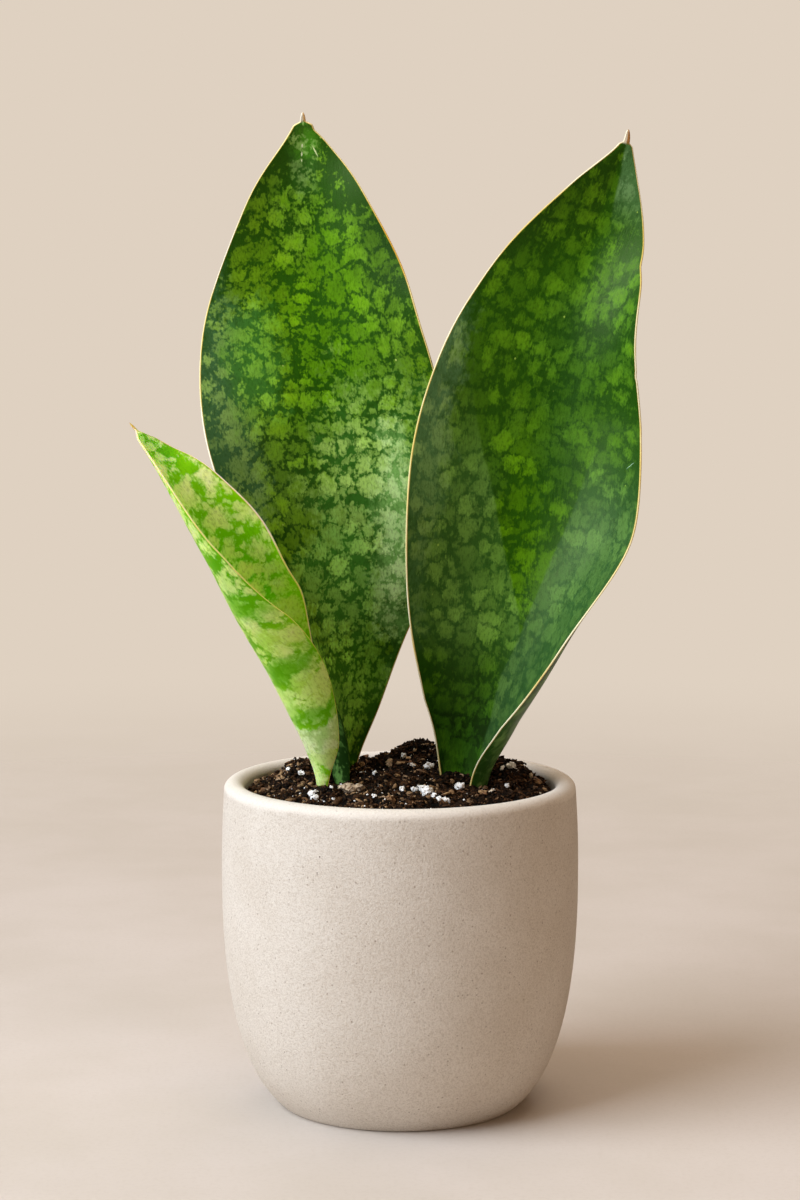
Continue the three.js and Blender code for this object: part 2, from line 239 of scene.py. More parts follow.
def pot_outline():
    """Half of the pot's section, from the middle of its foot round to the middle of its floor."""
    shoulder = POT_HEIGHT - LIP_HEIGHT
    foot = outer_flank(0)
    underside = [(foot * i / FLAT_STEPS, 0) for i in range(FLAT_STEPS)]
    underside += [(foot - FOOT_EDGE, 0), (foot, FOOT_EDGE / 4)]
    outside = [(outer_flank(z), z) for z in levels(FOOT_EDGE, shoulder, OUTSIDE_STEPS)]
    middle = (outer_flank(shoulder) + inner_flank(shoulder)) / 2
    half = (outer_flank(shoulder) - inner_flank(shoulder)) / 2
    turns = [math.pi * i / LIP_STEPS for i in range(1, LIP_STEPS)]
    lip = [(middle + half * math.cos(a), shoulder + LIP_HEIGHT * math.sin(a)) for a in turns]
    inside = [(inner_flank(z), z) for z in reversed(levels(FLOOR_THICKNESS, shoulder, INSIDE_STEPS))]
    inner_foot = inner_flank(FLOOR_THICKNESS)
    floor = [(inner_foot * i / FLAT_STEPS, FLOOR_THICKNESS) for i in reversed(range(FLAT_STEPS))]
    return [(r, 0, z) for r, z in underside + outside + lip + inside + floor]


def wheel_tree():
    """Turns an outline round the wheel's axis, with the slight unevenness of thrown clay."""
    tree, take, made = new_tree(
        "turned_on_the_wheel", "GeometryNodeTree",
        {"Outline": "Geometry", "Steps Round": "Int", "Unevenness": "Float", "Uneven Scale": "Float",
         "Clay": "Material"},
        {"Shape": "Geometry"},
    )
    rows = answer("GeometryNodeAttributeDomainSize", take["Outline"])
    steps = take["Steps Round"]
    sheet = add(tree, "GeometryNodeMeshGrid", {"Vertices X": plus(steps, 1), "Vertices Y": rows})
    index = add(tree, "GeometryNodeInputIndex").outputs[0]
    column = calc("FLOOR", calc("DIVIDE", plus(index, 0.5), rows))
    row = minus(index, times(column, rows))
    here = add(tree, "GeometryNodeInputPosition").outputs[0]
    outline = add(
        tree, "GeometryNodeSampleIndex",
        {"Geometry": take["Outline"], "Value": here, "Index": row}, data_type="FLOAT_VECTOR",
    )
    radius, _, height = split(outline.outputs["Value"])
    turn = times(calc("DIVIDE", column, steps), 2 * math.pi)
    way = join(calc("COSINE", turn), calc("SINE", turn))
    even = shift("ADD", scaled(way, radius), join(0, 0, height))
    uneven = grain(even, take["Uneven Scale"], 1.0)[0]
    swell = times(times(minus(uneven, 0.5), take["Unevenness"]), radius)
    shape = add(
        tree, "GeometryNodeSetPosition",
        {"Geometry": sheet.outputs["Mesh"], "Position": shift("ADD", even, scaled(way, swell))},
    ).outputs[0]
    shape = add(tree, "GeometryNodeMergeByDistance", {"Geometry": shape, "Distance": 1e-5}).outputs[0]
    shape = answer("GeometryNodeSetShadeSmooth", shape)
    shape = answer("GeometryNodeRealizeInstances", shape)
    shape = add(tree, "GeometryNodeSetMaterial", {"Geometry": shape, "Material": take["Clay"]}).outputs[0]
    feed(made[0], shape)
    return tree


def stoneware_finish():
    """Matte fired clay: sand grain, soft clouds, brown specks, pin holes and a paler lip band that is mostly
    a painted highlight.
    """
    finish, tree, shader = new_finish("matte_stoneware")
    place = own_place(tree)
    cloud = grain(place, 30, 4, 0.6)[0]
    sand = grain(place, 1700, 3, 0.7)[0]
    coarse = grain(place, 900, 2, 0.6)[0]
    clay = tint(ramp(cloud, 0.35, 0.65), "cdc2b4", "d3c9bc")
    clay = tint(ramp(sand, 0.36, 0.54, 0.36, 0), clay, "93806b")
    clay = tint(ramp(coarse, 0.52, 0.68, 0, 0.16), clay, "e4dccf")
    clay = tint(ramp(coarse, 0.34, 0.46, 0.26, 0), clay, "a39280")
    clay = tint(times(specks(place, 520, 0, 0.55, 0.26, 0.08), 0.46), clay, "705a48")
    hole = specks(place, 120, 1, 0.72, 0.060, 0.03)
    clay = tint(times(hole, 0.75), clay, "5c4634")
    # A paler band round the lip's top: mostly a painted highlight where the lip faces the light, partly paler
    # clay.
    wavy = plus(split(place)[2], times(minus(cloud, 0.5), 0.006))
    lip = ramp(wavy, POT_HEIGHT - 0.0050, POT_HEIGHT - 0.0025, 0, 0.45)
    clay = tint(lip, clay, "efe6da")
    relief = minus(plus(times(sand, 0.6), times(coarse, 0.7)), times(hole, 2.0))
    coat(shader, clay, ramp(coarse, 0.3, 0.7, 0.72, 0.9), relief, 0.7, 0.0004)
    shader.inputs["Specular IOR Level"].default_value = 0.3
    return finish


pot = new_piece("stoneware_pot", pot_outline())
grow(pot, wheel_tree(), {
    "Steps Round": STEPS_ROUND, "Unevenness": 0.004, "Uneven Scale": 22.0, "Clay": stoneware_finish(),
})
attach(pot, body)
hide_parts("pot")

# The soil. It is a moist, dark mix of peat and composted bark that fills the pot to just under its lip,
# heaped into mounds and dips when the plant was potted, with a cloddy surface.

SOIL_LINE = 0.130
SOIL_CROWN = 0.007
SOIL_GAP = 0.0003
MOUNDS = (
    dict(x=0.008, y=0.028, height=0.010, spread=0.013),
    dict(x=0.046, y=0.020, height=0.008, spread=0.010),
    dict(x=-0.043, y=0.017, height=0.007, spread=0.009),
    dict(x=0.026, y=0.040, height=0.004, spread=0.010),
    dict(x=-0.033, y=-0.029, height=0.003, spread=0.009),
    dict(x=-0.025, y=-0.001, height=-0.005, spread=0.010),
    dict(x=0.028, y=-0.012, height=-0.003, spread=0.009),
)
# Painted light: how fast the grains turn browner and paler towards the lit left.
PAINTED_LIGHT_TO_THE_LEFT = 1.6
LUMP_HEIGHT = 0.0012
LUMP_LENGTH = 0.022
CLODS = (
    dict(size=0.0078, height=0.0030),
    dict(size=0.0036, height=0.0019),
    dict(size=0.0017, height=0.0007),
)
CLOD_BEND = 0.002
CLOD_BEND_LENGTH = 0.006
CLOD_SEED = 5
SOIL_RINGS = 140
SOIL_STEPS = 560
SIDE_STEPS = 6

noise.seed_set(CLOD_SEED)


def soil_height(x, y):
    """The soil's surface: a low crown with mounds, dips, lumps and clods, level at the wall."""
    reach = min(math.hypot(x, y) / inner_flank(SOIL_LINE), 1)
    inside = 1 - reach ** 10
    height = SOIL_CROWN * (1 - reach ** 2.5)
    for mound in MOUNDS:
        distance = math.hypot(x - mound["x"], y - mound["y"]) / mound["spread"]
        height += inside * mound["height"] * math.exp(-distance ** 2 / 2)
    pace = 2 * math.pi / LUMP_LENGTH
    along = math.sin(pace * x + math.sin(0.65 * pace * y))
    across = math.sin(0.9 * pace * y + math.sin(0.55 * pace * x))
    height += inside * LUMP_HEIGHT * along * across
    here = Vector((x, y, 0))
    here += CLOD_BEND * noise.noise_vector(here / CLOD_BEND_LENGTH)
    for clod in CLODS:
        nearest = noise.voronoi(here / clod["size"])[0][0]
        height += inside ** 0.25 * clod["height"] * (0.45 - nearest ** 2)
    return SOIL_LINE + height


def soil_bed():
    """The body of the soil, from the pot's floor to its cloddy surface."""
    edge = inner_flank(SOIL_LINE) - SOIL_GAP
    floor = FLOOR_THICKNESS + SOIL_GAP
    rings = [(edge * (i + 1) / SOIL_RINGS, None) for i in range(SOIL_RINGS)]
    side = list(reversed(levels(FLOOR_THICKNESS, SOIL_LINE, SIDE_STEPS)))[1:]
    rings += [(inner_flank(z) - SOIL_GAP, max(z, floor)) for z in side]
    points = [(0, 0, soil_height(0, 0))]
    for radius, level in rings:
        for k in range(SOIL_STEPS):
            turn = 2 * math.pi * k / SOIL_STEPS
            x, y = radius * math.cos(turn), radius * math.sin(turn)
            points.append((x, y, soil_height(x, y) if level is None else level))
    points.append((0, 0, floor))
    sides = [(k, (k + 1) % SOIL_STEPS) for k in range(SOIL_STEPS)]
    faces = [(0, 1 + a, 1 + b) for a, b in sides]
    for i in range(len(rings) - 1):
        near, far = 1 + i * SOIL_STEPS, 1 + (i + 1) * SOIL_STEPS
        faces += [(near + a, far + a, far + b, near + b) for a, b in sides]
    outermost = 1 + (len(rings) - 1) * SOIL_STEPS
    last = len(points) - 1
    faces += [(outermost + a, last, outermost + b) for a, b in sides]
    return points, faces


def smoothed(piece, finish):
    """Shades a piece smoothly, in one finish."""
    piece.data.polygons.foreach_set("use_smooth", [True] * len(piece.data.polygons))
    piece.data.materials.append(finish)


def own_tint(tree):
    """The number from 0 to 1 that each grain has for its own tone."""
    return add(tree, "ShaderNodeAttribute", attribute_name="own_tint").outputs["Fac"]


def soil_finish(name, dark, brown, pale, in_grains=True):
    """Moist earth: near-black crumbs, with browner and paler ones among them at random and, as painted light,
    more of them towards the lit left.
    """
    finish, tree, shader = new_finish(name)
    place = own_place(tree)
    patch = grain(place, 110, 3)[0]
    crumb = grain(place, 900, 3, 0.65)[0]
    earth = tint(ramp(plus(times(patch, 0.5), crumb), 0.68, 1.0), dark, brown)
    if in_grains:
        # Painted light: grains towards the left, where the light falls, are more often browner and paler.
        share = calc("MULTIPLY_ADD", split(place)[0], -PAINTED_LIGHT_TO_THE_LEFT, own_tint(tree))
        earth = tint(times(ramp(share, 0.60, 0.95), ramp(crumb, 0.3, 0.6, 0.3, 1)), earth, brown)
        earth = tint(times(ramp(share, 0.86, 0.97), ramp(crumb, 0.35, 0.6, 0.2, 1)), earth, pale)
    else:
        earth = tint(ramp(crumb, 0.62, 0.76, 0, 0.5), earth, pale)
    coat(shader, earth, ramp(crumb, 0.3, 0.7, 0.6, 0.95), crumb, 0.9, 0.0006)
    shader.inputs["Specular IOR Level"].default_value = 0.08
    return finish


soil = new_piece("soil_bed", *soil_bed())
smoothed(soil, soil_finish("moist_soil", "070402", "1c1109", "5a4029", in_grains=False))
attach(soil, body)
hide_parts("soil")

# Loose crumbs, peat fibres, perlite and bark. They are what the mix is made of, strewn over its
# surface when the plant was potted, and each lies half sunk between its neighbours.

STREWN_WITHIN = 0.0635
STREWN_ABOVE = SOIL_LINE - 0.004
SMALL_ONES_PREVAIL = 2.2
KNOBS_PER_GRAIN = 2.2
LIFTED_BY = 0.35
LEAF_NODES = ("tall_left_leaf", "tall_right_leaf", "young_leaf")


def length(way):
    """How far it is along a direction."""
    return answer("ShaderNodeVectorMath", way, out="Value", operation="LENGTH")


def ball_shape(fineness):
    """Makes round grains one unit across; finer ones have enough faces to be knobbly or splintered."""
    def shape(tree):
        return add(tree, "GeometryNodeMeshIcoSphere", {"Radius": 0.5, "Subdivisions": fineness}).outputs[0]
    return shape


def fibre_shape(tree):
    """A bent shred one unit long."""
    bend = {"Resolution": 5, "Start": (-0.5, 0, 0), "Middle": (0.05, 0.3, 0.22), "End": (0.5, 0, 0)}
    line = add(tree, "GeometryNodeCurveQuadraticBezier", bend).outputs[0]
    section = add(tree, "GeometryNodeCurvePrimitiveCircle", {"Resolution": 4, "Radius": 0.09}).outputs[0]
    feeds = {"Curve": line, "Profile Curve": section, "Fill Caps": True}
    return add(tree, "GeometryNodeCurveToMesh", feeds).outputs[0]


def strewing_tree(name, shape_of):
    """Strews grains over a surface, or at a mesh's loose points, and roughens each one differently."""
    tree, take, made = new_tree(
        name, "GeometryNodeTree",
        {"Surface": "Geometry", "Per Square Metre": "Float", "Smallest": "Float", "Largest": "Float",
         "Stretch": "Vector", "Tilt": "Float", "Roughening": "Float", "Sunk": "Float", "Seed": "Int",
         "Leaf 1": "Object", "Leaf 2": "Object", "Leaf 3": "Object", "Clear Of Leaves": "Float",
         "Stuff": "Material"},
        {"Grains": "Geometry"},
    )

    def chance(low, high, seed, data_type="FLOAT"):
        """A number or a place that is drawn for each grain."""
        feeds = {"Min": low, "Max": high, "Seed": seed}
        return add(tree, "FunctionNodeRandomValue", feeds, data_type=data_type).outputs["Value"]

    def change(kind, shape, feeds, **settings):
        """What a node makes of a shape."""
        return add(tree, kind, {0: shape, **feeds}, **settings).outputs[0]

    here = add(tree, "GeometryNodeInputPosition").outputs[0]
    x, y, z = split(here)
    inside = calc("LESS_THAN", length(join(x, y)), STREWN_WITHIN)
    on_top = times(inside, calc("GREATER_THAN", z, STREWN_ABOVE))
    spread = change(
        "GeometryNodeDistributePointsOnFaces", take["Surface"],
        {"Selection": on_top, "Density": take["Per Square Metre"], "Seed": take["Seed"]},
    )
    size = calc("POWER", chance(0.0, 1.0, take["Seed"]), SMALL_ONES_PREVAIL)
    size = calc("MULTIPLY_ADD", size, minus(take["Largest"], take["Smallest"]), take["Smallest"])
    spread = change(
        "GeometryNodeStoreNamedAttribute", spread, {"Name": "size", "Value": size},
        data_type="FLOAT", domain="POINT",
    )
    loose = answer("GeometryNodeMeshToPoints", take["Surface"])
    faces = answer("GeometryNodeAttributeDomainSize", take["Surface"], out="Face Count")
    points = add(
        tree, "GeometryNodeSwitch",
        {"Switch": calc("GREATER_THAN", faces, 0), "False": loose, "True": spread}, input_type="GEOMETRY",
    ).outputs[0]
    leaves = tree.nodes.new("GeometryNodeJoinGeometry")
    for number in (1, 2, 3):
        leaf = answer("GeometryNodeObjectInfo", take[f"Leaf {number}"], out="Geometry")
        tree.links.new(leaf, leaves.inputs[0])
    away = answer("GeometryNodeProximity", leaves.outputs[0], out="Distance", target_element="FACES")
    crowded = calc("LESS_THAN", away, take["Clear Of Leaves"])
    points = change("GeometryNodeDeleteGeometry", points, {"Selection": crowded}, domain="POINT")
    own = add(tree, "GeometryNodeInputNamedAttribute", {"Name": "size"}, data_type="FLOAT")
    size = own.outputs["Attribute"]
    down = times(times(size, take["Sunk"]), -1)
    points = change("GeometryNodeSetPosition", points, {"Offset": join(0, 0, down)})
    tilt = take["Tilt"]
    back = times(tilt, -1)
    turn = chance(join(back, back), join(tilt, tilt, 2 * math.pi), plus(take["Seed"], 1), "FLOAT_VECTOR")
    vary = chance((0.75, 0.75, 0.75), (1.25, 1.25, 1.25), plus(take["Seed"], 2), "FLOAT_VECTOR")
    scale = scaled(shift("MULTIPLY", take["Stretch"], vary), size)
    turn = answer("FunctionNodeEulerToRotation", turn)
    grains = change(
        "GeometryNodeInstanceOnPoints", points,
        {"Instance": shape_of(tree), "Rotation": turn, "Scale": scale},
    )
    grains = change(
        "GeometryNodeStoreNamedAttribute", grains,
        {"Name": "own_tint", "Value": chance(0.0, 1.0, plus(take["Seed"], 3))},
        data_type="FLOAT", domain="INSTANCE",
    )
    grains = change("GeometryNodeRealizeInstances", grains, {})
    knobs = grain(scaled(here, calc("DIVIDE", KNOBS_PER_GRAIN, size)), 1.0, 3.0, 0.6)[1]
    knobs = scaled(shift("SUBTRACT", knobs, (0.5, 0.5, 0.5)), times(size, take["Roughening"]))
    grains = change("GeometryNodeSetPosition", grains, {"Offset": knobs})
    grains = change("GeometryNodeSetShadeSmooth", grains, {})
    grains = change("GeometryNodeSetMaterial", grains, {"Material": take["Stuff"]})
    feed(made[0], grains)
    return tree


def strew(name, tree, surface, values):
    """Strews one kind of grain over the soil, or at placed points."""
    grains = bpy.data.objects.new(name, surface.data.copy())
    bpy.context.scene.collection.objects.link(grains)
    leaves = {f"Leaf {i + 1}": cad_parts[node] for i, node in enumerate(LEAF_NODES)}
    grow(grains, tree, {**leaves, **values})
    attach(grains, body)


def placed_points(name, spots):
    """Points on the soil, each with the size of the grain that lies there."""
    holder = new_piece(name, [(x, y, soil_height(x, y) + LIFTED_BY * size) for x, y, size in spots])
    sizes = holder.data.attributes.new("size", "FLOAT", "POINT")
    sizes.data.foreach_set("value", [size for _, _, size in spots])
    return holder


def perlite_finish():
    """Puffed volcanic glass: white, foamy and dusted with earth."""
    finish, tree, shader = new_finish("perlite")
    place = own_place(tree)
    foam = grain(place, 1400, 3, 0.6)[0]
    dust = grain(place, 420, 2)[0]
    white = tint(ramp(foam, 0.3, 0.52), "c4bab0", "fbf8f3")
    white = tint(ramp(dust, 0.58, 0.70, 0, 0.6), white, "6b5442")
    coat(shader, white, ramp(foam, 0.3, 0.7, 0.6, 0.9), foam, 0.7, 0.0004)
    return finish


def bark_finish():
    """Composted bark: tan to red brown, streaked along its fibres."""
    finish, tree, shader = new_finish("bark")
    streak = grain(shift("MULTIPLY", own_place(tree), (1.0, 3.5, 2.0)), 420, 3, 0.65)[0]
    own = own_tint(tree)
    bark = tint(ramp(own, 0.1, 0.7), "7c5230", "c39a68")
    bark = tint(ramp(own, 0.75, 1.0), bark, "d8c2a4")
    bark = tint(ramp(streak, 0.42, 0.62, 0.75, 0), bark, "4a2f1c")
    coat(shader, bark, ramp(streak, 0.3, 0.7, 0.65, 0.95), streak, 0.7, 0.0005)
    return finish


# Each spot is a place on the soil and the size of the grain that lies there.
PERLITE_SPOTS = (
    (-0.035, -0.034, 0.003), (-0.035, -0.038, 0.003), (-0.028, -0.0345, 0.0014),
    (-0.027, -0.0395, 0.0014), (-0.024, -0.027, 0.001), (-0.0105, -0.041, 0.002),
    (0.006, -0.029, 0.0021), (0.001, -0.0265, 0.0024), (0.0015, 0.0165, 0.0025),
    (0.005, 0.0045, 0.0021), (-0.0105, 0.0035, 0.0021), (-0.0145, 0.0015, 0.0013),
    (-0.0175, -0.0215, 0.002), (-0.016, -0.02, 0.0016), (-0.047, 0.009, 0.0017),
    (0.012, 0.0065, 0.0032), (0.0135, 0.0085, 0.0018), (0.008, -0.024, 0.0019),
    (0.011, -0.034, 0.0042), (0.0095, -0.03, 0.003), (0.014, -0.037, 0.0026),
    (0.016, -0.0415, 0.003), (0.0185, -0.041, 0.003), (0.018, -0.0285, 0.0011),
    (0.027, -0.03, 0.0013), (0.0245, -0.019, 0.0036), (0.0385, -0.015, 0.0021),
    (0.0445, -0.011, 0.0021), (0.0465, 0.01, 0.0034), (0.043, 0.0075, 0.0021),
    (0.049, 0.0095, 0.0017), (-0.0415, 0.0045, 0.0024),
)
BARK_SPOTS = (
    (-0.02, -0.029, 0.0058), (-0.057, -0.0015, 0.0038), (-0.0605, 0.0085, 0.0026),
    (-0.008, -0.028, 0.0014), (0.013, -0.021, 0.0034), (0.0215, -0.0075, 0.0021),
    (0.0525, 0.0095, 0.0018), (0.0555, 0.0125, 0.0021), (0.058, 0.01, 0.0034),
    (0.0585, 0.007, 0.0021), (0.0565, -0.0045, 0.0022), (0.0355, -0.0125, 0.0022),
    (0.035, -0.018, 0.0021), (-0.0045, 0.013, 0.0034), (-0.016, 0.0225, 0.0026),
    (-0.004, -0.0425, 0.0038), (0.0335, -0.0295, 0.003), (0.0255, -0.022, 0.0021),
    (-0.001, -0.007, 0.0021), (-0.051, 0.007, 0.0025), (-0.045, -0.009, 0.0022),
    (-0.0485, -0.013, 0.0026),
)

crumb_tree = strewing_tree("strewn_crumbs", ball_shape(1))
lump_tree = strewing_tree("strewn_lumps", ball_shape(2))
chip_tree = strewing_tree("strewn_chips", ball_shape(4))
fibre_tree = strewing_tree("strewn_fibres", fibre_shape)
crumb_stuff = soil_finish("soil_crumbs", "090502", "4a301b", "a58460")
fibre_stuff = soil_finish("peat_fibres", "1e120a", "6d4c32", "b59878")
perlite_stuff = perlite_finish()
bark_stuff = bark_finish()

# A kind of grain is strewn so many to the square metre, with a smallest and a largest size and its
# stretch along, across and up. It sinks in by a share of its size, and keeps clear of the leaves.
Strewn = namedtuple("Strewn", "name tree stuff density sizes stretch tilt roughening sunk seed clear")
for kind in (
    Strewn("soil_crumbs", crumb_tree, crumb_stuff, 560000, (0.0006, 0.0022), (1.7, 0.9, 0.55),
           tilt=1.1, roughening=0.7, sunk=-0.1, seed=11, clear=0.0007),
    Strewn("soil_lumps", lump_tree, crumb_stuff, 60000, (0.0016, 0.0044), (1.5, 0.9, 0.65),
           tilt=0.8, roughening=0.9, sunk=0.12, seed=23, clear=0.0018),
    Strewn("peat_fibres", fibre_tree, fibre_stuff, 100000, (0.0014, 0.0050), (1.0, 1.1, 1.1),
           tilt=0.6, roughening=0.2, sunk=-0.02, seed=37, clear=0.0012),
    Strewn("perlite_dust", crumb_tree, perlite_stuff, 22000, (0.0003, 0.0011), (1.1, 1.0, 0.9),
           tilt=0.6, roughening=0.6, sunk=-0.3, seed=41, clear=0.002),
    Strewn("bark_crumbs", lump_tree, bark_stuff, 15000, (0.0008, 0.0030), (1.7, 0.8, 0.4),
           tilt=0.6, roughening=0.6, sunk=-0.2, seed=53, clear=0.003),
):
    strew(kind.name, kind.tree, soil, {
        "Per Square Metre": float(kind.density), "Smallest": kind.sizes[0], "Largest": kind.sizes[1],
        "Stretch": kind.stretch, "Tilt": kind.tilt, "Roughening": kind.roughening, "Sunk": kind.sunk,
        "Seed": kind.seed, "Clear Of Leaves": kind.clear, "Stuff": kind.stuff,
    })
for name, spots, stretch, stuff in (
    ("perlite_grains", PERLITE_SPOTS, (1.2, 1.0, 0.9), perlite_stuff),
    ("bark_chips", BARK_SPOTS, (1.6, 0.9, 0.6), bark_stuff),
):
    spot_points = placed_points(f"{name}_spots", spots)
    strew(name, chip_tree, spot_points, {
        "Stretch": stretch, "Tilt": 0.5, "Roughening": 1.0, "Sunk": 0.0, "Seed": 61,
        "Clear Of Leaves": 0.0, "Stuff": stuff,
    })
    bpy.data.objects.remove(spot_points)

# The underground stem and its roots. They grew as one corky orange-tan body that carries the leaves,
# and they lie sealed in the soil.


def rootstock_finish():
    """Corky rind: orange tan, ringed by old leaf scars and flecked with soil."""
    finish, tree, shader = new_finish("corky_rootstock")
    place = own_place(tree)
    rind = grain(place, 260, 4)[0]
    rings = add(tree, "ShaderNodeTexWave", {"Vector": place, "Scale": 60.0, "Distortion": 3.0})
    cork = tint(ramp(rind, 0.35, 0.65), "a8703a", "d09a5c")
    cork = tint(ramp(rings.outputs[1], 0.0, 0.25, 0.5, 0), cork, "6b4526")
    coat(shader, cork, ramp(rind, 0.3, 0.7, 0.7, 0.9), rind, 0.6, 0.0006)
    return finish


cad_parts["rhizome"].material_slots[0].material = rootstock_finish()

# The tall left leaf. A leathery upright blade, channelled at its foot, with a hard cream margin and a
# small dried point. Its dark green is mottled with ragged paler blotches in rough bands.

MARGIN_THICKNESS = 0.0008
MARGIN_ROUND = 0.0004
NARROWEST = 0.0008
FOLD_WIDTH = 0.008
DENT_DEPTH = 0.00035
DENT_WIDTH = 0.016
DENT_LENGTH = 0.030
BODY_ROWS = 250
TIP_ROWS = 70
TIP_FROM = 0.85
COLUMNS = 56
EDGE_STEPS = 5

# A station is a height, the midrib's place there, half the blade's width along its curve, the degrees
# that its left and right halves curl through, and the way it faces, in degrees round from the right.
Station = namedtuple("Station", "z x y half curl faces")
# A light and pattern patch is a soft patch of other colours. Most are painted light: painted sheen,
# painted light over shaded parts and painted shade over lit ones; on the young leaf some are its own
# darker bands and paler patches. Each has its middle and its reach, across and along the leaf, the
# ground's and the blotches' colour in it, its strength, and where it starts to fade.
LightAndPatternPatch = namedtuple("LightAndPatternPatch", "across along reach ground pale share starts", defaults=[0.25])

tall_left = dict(
    foot_thickness=0.0046,
    tip_thickness=0.0018,
    waves=(
        dict(size=0.0003, lift=0.0008, length=0.058, crest=0.328),
        dict(size=0.0003, lift=0.0010, length=0.054, crest=0.322),
    ),
    stations=(
        Station(0.105, -0.0290, 0.0090, 0.0120, (90, 75), 355),
        Station(0.137, -0.0290, 0.0150, 0.0145, (90, 70), 350),
        Station(0.165, -0.0290, 0.0180, 0.0240, (85, 55), 325),
        Station(0.200, -0.0300, 0.0190, 0.0370, (75, 40), 305),
        Station(0.245, -0.0295, 0.0180, 0.0490, (55, 40), 280),
        Station(0.290, -0.0325, 0.0170, 0.0525, (35, 35), 270),
        Station(0.335, -0.0350, 0.0175, 0.0455, (20, 30), 260),
        Station(0.375, -0.0380, 0.0175, 0.0275, (20, 25), 265),
        Station(0.400, -0.0395, 0.0185, 0.0110, (25, 25), 270),
        Station(0.4134, -0.0402, 0.0130, 0.0010, (20, 20), 270),
    ),
    horn=dict(length=0.0034, half=0.0012, shoulder=0.0010),
    crease=dict(height=0.0016, length=0.030),
    nicks=(dict(z=0.4068, side=1, depth=0.0012, length=0.0024),),
)


def through(values, t):
    """A smooth curve through evenly spaced values, at t from 0 to 1."""
    values = np.asarray(values, dtype=float)
    spot = np.clip(t, 0, 1) * (len(values) - 1)
    i = np.minimum(spot.astype(int), len(values) - 2)
    f = spot - i
    padded = np.concatenate([[2 * values[0] - values[1]], values, [2 * values[-1] - values[-2]]])
    a, b, c, d = (padded[i + k] for k in range(4))
    cubic = (3 * b - 3 * c + d - a) * f ** 3
    return 0.5 * (2 * b + (c - a) * f + (2 * a - 5 * b + 4 * c - d) * f ** 2 + cubic)


def spine(leaf, t):
    """The midrib's places."""
    return np.stack([through([getattr(s, axis) for s in leaf["stations"]], t) for axis in "xyz"], axis=-1)


def unit(ways):
    return ways / np.linalg.norm(ways, axis=-1, keepdims=True)


